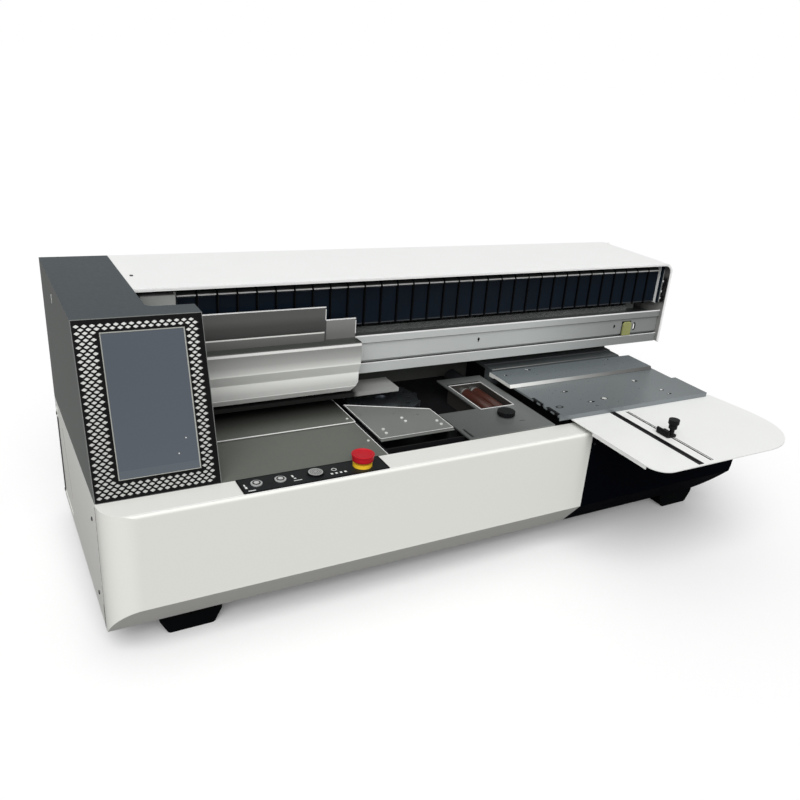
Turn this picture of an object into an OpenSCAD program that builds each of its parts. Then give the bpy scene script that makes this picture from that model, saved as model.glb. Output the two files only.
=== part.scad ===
// Perfect binding machine: a desktop machine that mills, glues and covers a book block.
// Local axes of the values below: x from the left side, y from the front face, z from the floor.
// The finished model is shifted so that its origin is the middle of its footprint, on the floor.

/* [Body] */
// Length of the body, left side to right side
body_l = 1380; // [1340:1:1420]
// Depth of the body, front face to rear panel
body_d = 526; // [515:1:560]
// Height of the front strip and of the decks
deck_h = 273; // [268:1:277]
// Height of the body's underside over the floor
floor_gap = 45; // [30:1:60]
// Wall of the sheet covers
sheet = 2; // [1.5:0.1:2.5]
// Radius of the front cover's upright left corner
corner_r = 50; // [30:1:53]
// Radius of the front cover's upper edge
edge_r = 6; // [2:0.5:10]
// Depth of the sloped lower edge of the front
chamfer_run = 45; // [30:1:50]
// Height of the sloped lower edge of the front
chamfer_rise = 58; // [40:1:80]
// Depth of the flat strip along the front's top
strip_d = 54; // [52:0.5:58]
// Length of the light front cover
cover_l = 920; // [900:1:940]
// Fall of the side panel's top edge towards the back
side_drop = 13; // [0:1:20]
// Depth of the shallow recess in the side panel
recess_d = 0.8; // [0.4:0.1:1.2]
// Running gap between neighbouring covers
seam = 0.4; // [0.2:0.1:0.8]

/* [Right housing] */
// Rise of the dark housing over the decks, below the cover tray
housing_rise = 8; // [6:1:9]
// Drop of the housing's right shoulder below the decks
shoulder_drop = 33; // [23:1:50]
// Distance of the shoulder's step from the right side
shoulder_l = 90; // [80:1:95]
// Radius of the housing's lower right edge
hip_r = 88; // [60:1:88]

/* [Feet] */
// Width of a foot at its top
foot_w = 104; // [80:1:120]
// Depth of a foot
foot_d = 62; // [40:1:80]
// Slope of a foot's outer ends
foot_slope = 14; // [4:1:20]
// Distance of the left feet's middle from the left side
foot_left = 134; // [100:1:150]
// Distance of the right feet's middle from the right side
foot_right = 100; // [98:1:140]
// Distance of a foot's front from the front face
foot_set = 60; // [58:1:80]

/* [Tower] */
// Width of the tower's head
tower_w = 189; // [180:1:188.9]
// Height of the tower and of the hood over the decks
tower_rise = 258; // [254:1:290]
// Setback of the tower's leaning front at its top
tower_lean = 88; // [60:1:100]
// Depth of the tower's head behind the strip
head_d = 133; // [125:1:135]
// Width of the tower's neck behind its head
neck_w = 115; // [105:1:118]
// Radius of the inner corner between head and neck
neck_r = 12; // [4:1:20]

/* [Screen] */
// Width of the touch screen
screen_w = 119; // [90:1:130]
// Distance of the screen from the slope's head
screen_head = 22.6; // [15:0.2:60]
// Distance of the screen from the tower's left side
screen_side = 39; // [20:1:45]
// Distance of the screen from the slope's foot
screen_foot = 31; // [20:1:40]
// How far the screen stands out of the fascia
screen_proud = 1.2; // [0.5:0.1:3]
// Thickness of the screen unit
screen_t = 10; // [6:1:20]
// Thickness of the fascia
fascia_t = 3; // [2:0.5:4]

/* [Hood] */
// Distance of the hood's front from the front face
hood_front = 288; // [286:1:292]
// Distance of the hood's end from the body's right side
hood_inset = 18; // [10:1:20]
// Height of the throat: of the hood's end wall and the beam over the decks
throat_h = 58; // [57:1:60]
// Radius of the hood's upper right edge
hood_r = 26; // [12:1:34]
// Height of the hood's folded front lip
lip_h = 6; // [3:0.5:8]

/* [Guide beam] */
// Distance of the beam's lips from the front face
beam_front = 299; // [297:0.5:301]
// Height of the beam
beam_h = 80; // [79:1:82]
// Depth of the rail's seat below the beam's lip
seat_drop = 12; // [11:1:14]
// Depth of the beam's web behind its lips
web_set = 4; // [2:0.5:5]
// Wall of the beam's chambers
beam_wall = 6; // [4:0.5:8]
// Distance of the beam's left end from the body's left side
beam_left = 20; // [10:1:30]

/* [Rear column] */
// Distance of the column from the front face
column_y = 452; // [452:1:456]
// Gap between the column and the back of the machine
column_gap = 6; // [4:1:8]
// Distance of the column's left end from the left side
column_left = 120; // [117:1:140]
// Distance of the column's right end from the right side
column_right = 40; // [40:1:60]
// Distance of the column's top below the hood's top
column_drop = 26; // [10:1:60]
// Wall of the column
column_wall = 3; // [2:0.5:5]

/* [Rail and carriage] */
// Width of the linear rail
rail_w = 15; // [12:1:20]
// Height of the linear rail
rail_h = 13; // [10:1:14]
// Distance of the rail's middle from the front face
rail_y = 359; // [350:1:360]
// Length of a bearing block
block_l = 60; // [40:1:80]
// Width of a bearing block
block_w = 34; // [28:1:36]
// Height of the carriage plate over the rail
plate_rise = 7; // [6:0.5:9]
// Thickness of the carriage plate
plate_t = 8; // [5:1:8]
// Running gap of the carriage on its rail
slide_gap = 0.3; // [0.2:0.05:0.5]
// Distance of the carriage's left end from the left side
carriage_x = 127; // [120:1:128]

/* [Bellows] */
// Number of folds of the bellows
folds = 32; // [16:1:40]
// Distance of the bellows' front from the front face
bellows_y = 315; // [310:1:320]
// Depth of the bellows
bellows_d = 86; // [80:1:90]
// Gap between the carriage plate and the bellows above it
bellows_gap = 3; // [2.5:0.5:6]
// Distance of the bellows' top below the hood's top
bellows_drop = 18; // [13:1:24]
// Distance of the bellows' left end from the left side
bellows_x = 188.5; // [186:0.5:190]
// Distance of the bellows' right end from the right side
bellows_end = 37; // [35:1:45]
// Thickness of the bellows' cloth
cloth_t = 1.6; // [1:0.1:2]
// Thickness of a fold's rib
rib_t = 3; // [2:0.5:4]
// How far a rib stands out of the cloth
rib_proud = 3.5; // [2:0.5:5]
// Bevel of the bellows' upper edges
bellows_bevel = 6; // [3:0.5:9]

/* [Belt drive] */
// Radius of the toothed pulleys
pulley_r = 20; // [16:1:22]
// Width of the belt
belt_w = 14; // [10:1:16]
// Thickness of the belt
belt_t = 2; // [1.5:0.1:3]
// Height of the pulleys' axes over the carriage plate
belt_rise = 33; // [31:1:36]
// Distance of the belt's middle from the front face
belt_y = 379; // [378:0.5:380]
// Distance of the driving pulley from the left side
drive_x = 60; // [50:1:70]
// Distance of the idler pulley from the right side
idler_end = 66; // [64:1:80]
// Radius of the pulley shafts
shaft_r = 5; // [4:0.5:6]
// Side of the square drive motor
motor_w = 80; // [60:1:86]
// Length of the drive motor
motor_l = 58; // [40:1:58]

/* [Book clamp] */
// Distance of the book's fixed rear plane from the front face
book_y = 293; // [292:0.5:294]
// Gap between the jaws at rest
jaw_gap = 6; // [5.4:0.1:8]
// Distance of the clamp's left end from the left side
clamp_x = 200; // [196:1:210]
// Length of the clamp
clamp_l = 324; // [300:1:330]
// Height of the clamp's lower edge over the decks
clamp_rise = 33; // [32:1:34]
// Height of the rear jaw's tall part
rear_jaw_h = 171; // [150:1:184]
// Height of the rear jaw's short part
rear_jaw_low = 145; // [130:1:150]
// Length of the rear jaw's short part
step_l = 63; // [50:1:80]
// Thickness of the rear jaw
rear_jaw_t = 3; // [2:0.5:3.5]
// Depth of the front jaw
front_jaw_d = 25; // [22:1:30]
// Height of the front jaw's shelf over its lower edge
shelf_h = 106; // [102:1:110]
// Height of the front jaw's pressing plate over the shelf
press_h = 19; // [10:1:24]
// Wall of the front jaw's sheet
jaw_wall = 2.5; // [2:0.1:3]
// Radius of the clamp's guide rods
rod_r = 5; // [4:0.5:5]
// Height of the clamp's guide rods over its lower edge
rod_rise = 17; // [16:0.25:17]
// Length of the clamp's guide rods
rod_l = 92; // [80:1:100]
// Running clearance of rods and shafts in their bores
fit_gap = 0.05; // [0.03:0.01:0.1]
// Radius of the clamp's actuator
actuator_r = 19; // [15:1:19]
// Height of the clamp's actuator over the carriage plate
actuator_rise = 28; // [24:1:30]

/* [Milling station] */
// Radius of the milling cutter
cutter_r = 80; // [60:1:82]
// Thickness of the milling cutter
cutter_t = 10; // [6:1:12]
// Distance of the cutter's axis from the left side
cutter_x = 590; // [585:1:595]
// Distance of the cutter's axis from the front face
cutter_y = 290; // [285:1:295]
// Number of teeth on the cutter
cutter_teeth = 12; // [4:1:16]
// Radius of the milling motor
mill_motor_r = 46; // [35:1:48]
// Length of the milling motor below its plate
mill_motor_l = 118; // [80:1:140]
// Distance of the milling plate's left edge from the left side
mill_x = 495; // [493:1:498]
// Width of the milling plate
mill_w = 157; // [150:1:160]
// Distance of the milling plate's front from the front face
mill_y = 103; // [95:1:110]
// Rise of the milling plate over the decks
mill_rise = 7; // [6:1:9]
// Thickness of the milling plate
mill_t = 3; // [2:0.5:3]
// Distance of the plate's rear left corner from the front face
mill_back_l = 270; // [250:1:272]
// Distance of the plate's rear right corner from the front face
mill_back_r = 199; // [180:1:210]

/* [Decks] */
// Distance of the left deck's right edge from the left side
deck_x = 487; // [480:1:489]
// Distance of the left deck's lip from the front face
deck_lip_y = 198; // [190:1:210]
// Depth of the decks behind the front face
deck_back = 340; // [335:1:345]
// Rise of the levelling plate over the decks
level_rise = 27; // [24:1:28]
// Distance of the levelling plate's front from the front face
level_y = 276; // [270:1:280]
// Distance of the levelling plate's right end from the left side
level_x = 620; // [600:1:630]
// Distance of the glue deck's left edge from the left side
glue_x = 660; // [656:1:664]
// Distance of the glue deck's right edge from the left side
glue_end = 864; // [862:1:866]
// Depth of the inner station plate below the decks
station_drop = 37; // [35:1:40]
// Thickness of the inner station plate
station_t = 4; // [2:0.5:5]

/* [Glue station] */
// Distance of the glue tank from the left side
tank_x = 758; // [756:1:760]
// Width of the glue tank
tank_w = 83; // [82:1:85]
// Distance of the glue tank from the front face
tank_y = 169; // [165:1:172]
// Length of the glue tank
tank_l = 133; // [125:1:134]
// Rise of the glue tank's rim over the decks
tank_rise = 3; // [2:1:5]
// Wall of the glue tank
tank_wall = 4; // [3:0.5:4]
// Radius of the glue rollers
roller_r = 12; // [9:0.5:12]
// Distance between the roller axes
roller_pitch = 25; // [24.5:0.1:26]
// Depth of the roller axes below the tank's rim
roller_drop = 19.5; // [17:0.5:20]
// Radius of the roller journals
journal_r = 4; // [3:0.5:5]
// Teeth on each roller gear
gear_teeth = 16; // [12:1:20]
// Radius of the glue knob
glue_knob_r = 18.5; // [12:0.5:20]

/* [Nipping station] */
// Distance of the nipping table from the left side
nip_x = 868; // [867:0.5:870]
// Length of the nipping table
nip_l = 410; // [400:1:416]
// Distance of the table's front from the front face
nip_front = 48; // [46:1:50]
// Rise of the nipping table over the decks
nip_rise = 22; // [21:1:23]
// Thickness of the table
nip_t = 4; // [3:0.5:5]
// Thickness of the nipping jaws over the table
nip_jaw_t = 8; // [6:1:9]
// Depth of the moving nipping jaw
nip_jaw_d = 83; // [70:1:86]
// Width of the nipping gap at rest
nip_gap = 8; // [7.5:0.5:12]
// Depth of the nipping table
nip_d = 167; // [160:1:172]
// Depth of the rear nipping jaw
rear_jaw_d = 102; // [80:1:105]
// Depth of the table's front flange
flange_h = 9.5; // [6:0.5:9.5]
// Reach of the table's right tab
tab_l = 13; // [8:1:16]

/* [Cover tray] */
// How far the tray reaches out in front of the body
tray_reach = 207; // [190:1:230]
// Distance of the tray's left edge from the left side
tray_x = 900; // [890:1:910]
// Width of the tray
tray_w = 422; // [410:1:435]
// Rise of the tray over the decks
tray_rise = 12; // [11:1:12]
// Radius of the tray's front left corner
tray_r_left = 38; // [20:1:50]
// Radius of the tray's front right corner
tray_r_right = 118; // [60:1:130]
// Distance of the dark rail's middle from the tray's left edge
rail_mid = 109; // [90:1:112]
// Width of the dark rail
tray_rail_w = 13; // [8:1:16]
// Distance of the slot's middle from the tray's left edge
slot_mid = 144; // [143:1:150]
// Width of the slot
slot_w = 5; // [4:0.5:6]
// Radius of the side guide's knob
knob_r = 11; // [8:0.5:13]
// Height of the side guide's knob
knob_h = 37; // [20:1:45]
// Distance of the guide knob from the front face, outwards
guide_out = 88; // [60:1:120]

/* [Control strip] */
// Distance of the control plate from the left side
control_x = 210; // [205:1:215]
// Length of the control plate
control_l = 256; // [250:1:270]
// Distance of the first push button from the left side
button_x = 238; // [230:1:240]
// Distance between the push buttons
button_pitch = 40; // [30:1:45]
// Distance of the buzzer from the left side
buzzer_x = 339; // [325:1:345]
// Distance of the stop button from the left side
stop_x = 425; // [415:1:435]
// Distance of the controls' middle from the front face
control_mid = 30.5; // [26:0.5:32]
// Radius of a push button's bezel
bezel_r = 9.4; // [8:0.1:11]
// Radius of a push button's cap
cap_r = 6.5; // [5:0.1:7]
// Radius of the buzzer
buzzer_r = 14; // [11:0.5:16]
// Radius of the stop button's head
stop_r = 20.3; // [16:0.1:22]
// Radius of the stop button's collar
collar_r = 17; // [14:0.5:18]

/* [Rear] */
// Distance of the power inlet from the left side
inlet_x = 700; // [600:1:760]
// Distance between the power inlet and the power switch
switch_gap = 18; // [10:1:40]
// Height of the power inlet's middle over the base
inlet_rise = 65; // [40:1:90]

/* [Hidden] */
$fn = 48;
eps = 1;

// Heights that follow from the decks and from one another
tower_h = deck_h + tower_rise;
housing_h = deck_h + housing_rise;
shoulder_h = deck_h - shoulder_drop;
hood_low = deck_h + throat_h;
beam_low = deck_h + throat_h;
beam_lip = beam_low + beam_h;
beam_seat = beam_lip - seat_drop;
rail_top = beam_seat + rail_h;
plate_z = rail_top + plate_rise;
plate_top = plate_z + plate_t;
bellows_z = plate_top + bellows_gap;
bellows_top = tower_h - bellows_drop;
column_h = tower_h - column_drop;
belt_z = plate_top + belt_rise;
clamp_z = deck_h + clamp_rise;
shelf_z = clamp_z + shelf_h;
press_z = shelf_z + press_h;
rod_z = clamp_z + rod_rise;
actuator_z = plate_top + actuator_rise;
mill_z = deck_h + mill_rise;
level_z = deck_h + level_rise;
station_top = deck_h - station_drop;
station_z = station_top - station_t;
tank_z = deck_h + tank_rise;
roller_z = tank_z - roller_drop;
nip_z = deck_h + nip_rise;
nip_jaw_z = nip_z + nip_jaw_t;
tray_z = deck_h + tray_rise;
inlet_z = floor_gap + inlet_rise;

// Small sizes that several pieces share
touch = 0.3;
slide_clear = 0.5;
panel_t = 3;
pan_t = 3;
deck_step = 3;
sensor_l = 37;
sensor_h = 33;
sensor_set = 121;
pan_top = floor_gap + pan_t;

// Places that follow from the sizes above
lean = atan(tower_lean / tower_rise);
slope_l = norm([tower_lean, tower_rise]);
screen_l = slope_l - screen_foot - screen_head;
head_y = strip_d + head_d;
hood_end = body_l - hood_inset;
beam_end = hood_end - 5;
column_end = body_l - column_right;
bellows_x1 = body_l - bellows_end;
bellows_l = bellows_x1 - bellows_x;
fold_l = bellows_l / folds;
idler_x = body_l - idler_end;
clamp_end = clamp_x + clamp_l;
carriage_end = clamp_end - 4;
beam_web = beam_front + web_set;
beam_back = column_y;
rail_x0 = carriage_x + 3;
rail_x1 = idler_x - 20;
tray_t = 2;
table_x1 = nip_x + nip_l;
chamfer_l = norm([chamfer_run, chamfer_rise]);

// Height of the covers' screw heads, which stand out of the left panel
head_h = 1.5;

// Places and sizes inside the machine
fascia_edge = 3;
cutter_shaft_r = 9;
cover_back = belt_y + belt_w / 2 + 4;
bracket_t = 4;
actuator_x = carriage_x + 30;
spindle_r = 6;
motor_y = belt_y + belt_w / 2 + 8;
beam_holes = [beam_end - 533, beam_end - 140];
beam_web_mid = (beam_low + 26 + beam_lip - 18) / 2;
rod_places = [clamp_x + 8.5, clamp_end - 8.5];
boss_r = 7.5;
boss_l = 27;
belt_gap = touch;
nip_back = nip_front + nip_d;
nip_rear_y = book_y + 5;
nip_rod_set = 72;
nip_rod_places = [nip_x + nip_rod_set, table_x1 - nip_rod_set - 26];
nip_rod_z = nip_z - 16;
nip_rod_l = 84;
roller_places = [tank_x + tank_w - tank_wall - roller_r - 0.8 - roller_pitch,
  tank_x + tank_w - tank_wall - roller_r - 0.8];
roller_motor_y = deck_back + 8;
gear_room = 12;
glue_knob_x = tank_x + 32;
glue_knob_y = tank_y - 44;
inlet_w = 32;
inlet_h = 27;
switch_w = 13;
switch_h = 20;
switch_x = inlet_x + inlet_w / 2 + switch_gap;
plate_h = 1.2;
control_top = deck_h + plate_h;
control_w = 49;
stem_r = 6;
collar_h = 6;
stop_head_z = control_top + 15.5;

// Screws and marks: places measured from the plate's own corner
mill_screws = [[81, 72], [81, 56], [23, 36], [21, 19], [141, 38], [141, 21]];
mill_dots = [[75, 96], [119, 77], [11, 110]];
deck_screws = [[10, 213, deck_step], [10, 117, 0]];
table_screws = [[159, 97, 5.2], [302, 162, 3], [327, 96, 3]];
table_slots = [[20, 207, 8, 2], [97, 158, 8, 2], [113, 95, 5, 1.8], [115, 70, 5, 1.8], [327, 71, 6, 2]];
side_screws = [[strip_d + 45, deck_h - 49], [strip_d + 45, floor_gap + 41],
  [body_d - 12, deck_h - 44], [body_d - 12, floor_gap + 15]];

module placed() {
  translate([-(body_l - head_h) / 2, -(body_d - tray_reach) / 2, 0]) children();
}

// A box between two corners
module span(low, high) {
  translate(low) cube(high - low);
}

// An outline of [y, z] points, drawn out along X
module along_x(x0, x1) {
  translate([x0, 0, 0]) rotate([90, 0, 90]) linear_extrude(x1 - x0) children();
}

// An outline of [x, z] points, drawn out along Y
module along_y(y0, y1) {
  translate([0, y1, 0]) rotate([90, 0, 0]) linear_extrude(y1 - y0) children();
}

// An outline of [x, y] points, drawn out along Z
module along_z(z0, z1) {
  translate([0, 0, z0]) linear_extrude(z1 - z0) children();
}

module rod_x(y, z, r, x0, x1) {
  translate([x0, y, z]) rotate([0, 90, 0]) cylinder(r = r, h = x1 - x0);
}

module rod_y(x, z, r, y0, y1) {
  translate([x, y1, z]) rotate([90, 0, 0]) cylinder(r = r, h = y1 - y0);
}

module rod_z(x, y, r, z0, z1) {
  translate([x, y, z0]) cylinder(r = r, h = z1 - z0);
}

// The frame of the tower's leaning front: z climbs the slope, y goes into the tower
module on_slope() {
  translate([0, strip_d, deck_h]) rotate([-lean, 0, 0]) children();
}

// Outline of the front from the side, set in by a wall
module front_outline(wall, top, depth, over) {
  slope_in = wall * (chamfer_l - chamfer_rise) / chamfer_run;
  low = floor_gap - over;
  corner = max(edge_r - wall, 0.5);
  arc = [for (a = [0:15:90]) [wall + corner * (1 - cos(a)), top - wall - corner * (1 - sin(a))]];
  polygon(concat([[wall, floor_gap + chamfer_rise + slope_in]], arc,
    [[depth + over, top - wall], [depth + over, low],
     [chamfer_run + wall * chamfer_l / chamfer_rise + over * chamfer_run / chamfer_rise, low]]));
}

// Footprint of the front cover with its rounded left corner, set in by a wall
module corner_plan(wall) {
  translate([corner_r, wall]) square([body_l, body_d]);
  translate([wall, corner_r]) square([body_l, body_d]);
  translate([corner_r, corner_r]) circle(r = corner_r - wall, $fn = 96);
}

// Places of the controls on the front strip: [x, radius of the hole]
function control_holes() = [[button_x, bezel_r - 1], [button_x + button_pitch, bezel_r - 1],
  [buzzer_x, buzzer_r - 2], [stop_x, collar_r - 5]];

module control_cuts(clear) {
  for (h = control_holes())
    rod_z(h[0], control_mid, h[1] + clear, deck_h - 10, deck_h + 10);
}

module front_cover() {
  color("whitesmoke") difference() {
    intersection() {
      along_x(0, cover_l) front_outline(0, deck_h, strip_d, 0);
      along_z(floor_gap, deck_h) corner_plan(0);
    }
    intersection() {
      along_x(0, body_l) front_outline(sheet, deck_h, strip_d, eps);
      along_z(0, deck_h) corner_plan(sheet);
    }
    control_cuts(touch);
  }
}

// Edge of the left panel: level at the front, falling to the back
function panel_top(y) = deck_h - side_drop * (y - strip_d) / (body_d - strip_d);

module left_panel() {
  recess_y = 820;
  recess_z = 80;
  recess_r = 416;
  rim = 14;
  y0 = strip_d + seam;
  color("gainsboro") difference() {
    along_x(0, sheet)
      polygon([[y0, floor_gap], [body_d, floor_gap], [body_d, panel_top(body_d)], [y0, panel_top(y0)]]);
    intersection() {
      rod_x(recess_y, recess_z, recess_r, -eps, recess_d);
      along_x(-eps, recess_d)
        polygon([[y0 + rim, floor_gap + rim], [body_d - rim, floor_gap + rim],
          [body_d - rim, panel_top(body_d) - rim], [y0 + rim, panel_top(y0) - rim]]);
    }
  }
}

module rear_panel() {
  slot_h = 5;
  slot_pitch = 12;
  vents = [[180, 150], [420, 150], [1000, 380], [180, 380]];
  vent_l = 90;
  rows = 6;
  color("gainsboro") difference() {
    along_y(body_d - sheet, body_d)
      polygon([[sheet + seam, floor_gap], [cover_l - seam, floor_gap], [cover_l - seam, housing_h + seam],
        [hood_end - sheet - seam, housing_h + seam], [hood_end - sheet - seam, tower_h - sheet - seam],
        [neck_w + seam, tower_h - sheet - seam], [neck_w + seam, panel_top(body_d) - seam],
        [sheet + seam, panel_top(body_d) - seam]]);
    for (v = vents, i = [0:rows - 1])
      span([v[0], body_d - sheet - eps, v[1] + i * slot_pitch],
        [v[0] + vent_l, body_d + eps, v[1] + i * slot_pitch + slot_h]);
    span([inlet_x - inlet_w / 2 - touch, body_d - sheet - eps, inlet_z - inlet_h / 2 - touch],
      [inlet_x + inlet_w / 2 + touch, body_d + eps, inlet_z + inlet_h / 2 + touch]);
    span([switch_x - switch_w / 2 - touch, body_d - sheet - eps, inlet_z - switch_h / 2 - touch],
      [switch_x + switch_w / 2 + touch, body_d + eps, inlet_z + switch_h / 2 + touch]);
  }
}

// Outline of the dark housing from the front, set in by a wall
module housing_outline(wall) {
  step_x = body_l - shoulder_l;
  round_x = body_l - hip_r;
  round_z = floor_gap + hip_r;
  arc = [for (a = [0:10:90]) [round_x + (hip_r - wall) * sin(a), round_z - (hip_r - wall) * cos(a)]];
  polygon(concat([[cover_l + seam - wall * 2, floor_gap + wall]], arc,
    [[body_l - wall, shoulder_h - wall], [step_x - wall, shoulder_h - wall],
     [step_x - wall, housing_h - wall], [cover_l + seam - wall * 2, housing_h - wall]]));
}

module right_housing() {
  well_x1 = body_l - shoulder_l - 16;
  color("#101216") difference() {
    intersection() {
      along_y(0, body_d) intersection() {
        housing_outline(0);
        translate([cover_l + seam, 0]) square([body_l, body_l]);
      }
      along_x(0, body_l) front_outline(0, housing_h, body_d, 0);
    }
    intersection() {
      along_y(0, body_d - sheet) housing_outline(sheet);
      along_x(0, body_l) front_outline(sheet, housing_h, body_d, 0);
    }
    span([cover_l - eps, chamfer_run + seam, floor_gap - eps],
      [body_l - hip_r, body_d - sheet - seam, floor_gap + sheet + eps]);
    span([cover_l - eps, strip_d + seam, housing_h - sheet - eps],
      [well_x1, body_d - sheet - seam, housing_h + eps]);
    span([cover_l - eps, column_y - seam, shoulder_h - sheet - eps],
      [column_end + seam, body_d - sheet - seam, housing_h + eps]);
  }
}

module base_pan() {
  y0 = chamfer_run + sheet * chamfer_l / chamfer_rise + seam;
  color("#2a2c30")
    span([sheet + seam, y0, floor_gap], [body_l - hip_r - seam, body_d - sheet - seam, pan_top]);
}

module foot() {
  round_r = 7;
  along_y(0, foot_d) intersection() {
    offset(r = round_r, $fn = 32) offset(delta = -round_r)
      polygon([[-foot_w / 2, floor_gap * 2], [foot_w / 2, floor_gap * 2],
        [foot_w / 2, floor_gap * 0.6], [foot_w / 2 - foot_slope, 0],
        [foot_slope - foot_w / 2, 0], [-foot_w / 2, floor_gap * 0.6]]);
    translate([-foot_w / 2, 0]) square([foot_w, floor_gap]);
  }
}

module feet() {
  color("#141518")
    for (x = [foot_left, body_l - foot_right], y = [foot_set, body_d - foot_set - foot_d])
      translate([x, y, 0]) foot();
}

// Upright plates and the inner station plate, all of the machine's dark inner frame
module bulkheads() {
  rib = panel_t;
  y0 = strip_d + 6;
  y1 = column_y;
  well_x = deck_x + 2;
  plate_x = well_x + rib + touch;
  foot_z = station_top + touch;
  rear_y = nip_rear_y + 36;
  color("#17181b") {
    // carriers of the left deck
    for (x = [tower_w + 9, (tower_w + deck_x) / 2]) {
      span([x, y0, pan_top], [x + rib, deck_lip_y - 4, deck_h - sheet]);
      span([x, deck_lip_y + 2, pan_top], [x + rib, y1, deck_h + deck_step - sheet]);
    }
    // left wall and front wall of the station
    span([well_x, y0, pan_top], [well_x + rib, y1, deck_h]);
    span([plate_x, mill_y - 30, foot_z], [glue_x, mill_y - 27, deck_h]);
    // station plate and the plates that carry it
    difference() {
      span([plate_x, y0, station_z], [glue_end, y1, station_top]);
      rod_z(cutter_x, cutter_y, cutter_shaft_r + 8, station_z - eps, station_top + eps);
    }
    for (x = [glue_x - 2, glue_end - rib])
      span([x, y0, pan_top], [x + rib, y1, station_z - touch]);
    // rails under the milling plate
    for (x = [mill_x + 4, mill_x + mill_w - 4 - rib])
      span([x, mill_y + 10, foot_z], [x + rib, mill_back_r - 4, mill_z - mill_t]);
    // walls under the glue deck
    span([glue_x + 40, y0, foot_z], [glue_x + 40 + rib, tank_y - 8, deck_h]);
    span([glue_end - 12, y0, foot_z], [glue_end - 12 + rib, deck_back, deck_h]);
    // carriers of the nipping station
    for (x = [nip_x + 32, table_x1 - 70])
      along_x(x, x + rib)
        polygon([[y0, pan_top], [y1, pan_top], [y1, nip_jaw_z - 6], [rear_y, nip_jaw_z - 6],
          [rear_y, nip_z - 45], [nip_back + touch, nip_z - 45], [nip_back - 4, nip_z - nip_t],
          [y0, nip_z - nip_t]]);
  }
}

// Box column of bent sheet, open to the back; its lower right part keeps clear of the hip
module rear_column() {
  w = column_wall;
  x0 = column_left;
  low_x = body_l - hip_r;
  low_z = floor_gap + hip_r;
  y1 = body_d - column_gap;
  margin = 5;
  color("#5c6066") difference() {
    union() {
      span([x0, column_y, pan_top], [low_x, column_y + w, column_h]);
      span([low_x - eps, column_y, low_z], [column_end, column_y + w, column_h]);
      span([x0, column_y, pan_top], [low_x, y1, pan_top + w]);
      span([low_x - w, column_y, low_z], [column_end, y1, low_z + w]);
      span([x0, column_y, column_h - w], [column_end, y1, column_h]);
      for (x = [x0, inlet_x + inlet_w * 3])
        span([x, column_y, pan_top], [x + w, y1, column_h]);
      span([low_x - w, column_y, pan_top], [low_x, y1, low_z + w]);
      span([column_end - w, column_y, low_z], [column_end, y1, column_h]);
    }
    // window for the wires of the inlet and the switch
    span([inlet_x - inlet_w / 2 - margin, column_y - eps, inlet_z - inlet_h / 2 - margin],
      [switch_x + switch_w / 2 + margin, column_y + w + eps, inlet_z + inlet_h / 2 + margin]);
  }
}

// Footprint of the tower, set in by a wall
module tower_plan(wall) {
  y1 = body_d;
  difference() {
    union() {
      translate([wall, 0]) square([neck_w - wall * 2, y1 - wall]);
      translate([wall, 0]) square([tower_w - wall * 2, head_y - wall]);
      translate([neck_w - wall - eps, head_y - wall - eps])
        square([neck_r + eps, neck_r + eps]);
    }
    translate([neck_w + neck_r - wall, head_y + neck_r - wall]) circle(r = neck_r);
    translate([neck_w - wall + neck_r, head_y - wall + neck_r / 2]) square([neck_r, neck_r]);
  }
}

// Outline of the tower from the side: leaning front, foot on the falling edge of the side panel
module tower_side(front, top) {
  shift_y = front / cos(lean);
  polygon([[strip_d + seam + shift_y, panel_top(strip_d) + seam],
    [strip_d + shift_y + seam + tower_lean * (tower_rise - top) / tower_rise, tower_h - top],
    [body_d, tower_h - top], [body_d, panel_top(body_d) + seam]]);
}

module screen_window(clear, depth) {
  on_slope() span([screen_side - clear, -10, screen_foot - clear],
    [screen_side + screen_w + clear, depth, screen_foot + screen_l + clear]);
}

module tower_shell() {
  front_wall = fascia_t + sheet;
  color("#4b5054") difference() {
    intersection() {
      along_z(floor_gap, tower_h) tower_plan(0);
      along_x(0, tower_w) tower_side(0, 0);
    }
    intersection() {
      along_z(floor_gap, tower_h) tower_plan(sheet);
      along_x(0, tower_w) union() {
        tower_side(front_wall, sheet);
        translate([strip_d + sheet, 0]) square([body_d, panel_top(strip_d) + 4]);
      }
    }
    // recess of the fascia, and the window of the screen
    on_slope() span([sheet - touch, -10, fascia_edge - touch],
      [tower_w - sheet + touch, fascia_t, slope_l - fascia_edge + touch]);
    screen_window(touch, 20);
    // way of the beam, the belt and the drive through the neck
    span([neck_w - sheet - eps, beam_front - 6, beam_low - 2],
      [neck_w + eps, body_d - sheet - seam, tower_h - 6]);
  }
}

module tower_fascia() {
  color("#16181a") difference() {
    on_slope() span([sheet, 0, fascia_edge], [tower_w - sheet, fascia_t, slope_l - fascia_edge]);
    screen_window(touch, 20);
  }
}

module touch_screen() {
  color("#596270") on_slope()
    span([screen_side, -screen_proud, screen_foot],
      [screen_side + screen_w, screen_t - screen_proud, screen_foot + screen_l]);
}

module hood() {
  x0 = neck_w + seam;
  bracket = bellows_x1 + touch;
  color("whitesmoke") difference() {
    union() {
      difference() {
        along_y(hood_front, body_d) hood_outline(0);
        along_y(hood_front + sheet, body_d + eps) hood_outline(sheet);
        along_y(hood_front - eps, hood_front + sheet + eps) hood_outline(lip_h);
      }
      // plate and posts that hold the bellows' right end
      span([bracket, bellows_y - 7, bellows_z - 2],
        [bracket + panel_t, bellows_y + bellows_d + 7, bellows_top + 7]);
      for (y = [bellows_y + 10, bellows_y + bellows_d - 10])
        rod_x(y, (bellows_z + bellows_top) / 2, 6, bracket + eps, hood_end - sheet / 2);
    }
    span([x0 - eps, body_d - sheet - seam, hood_low - eps],
      [hood_end + eps, body_d + eps, tower_h - sheet - seam / 2]);
  }
}

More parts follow.
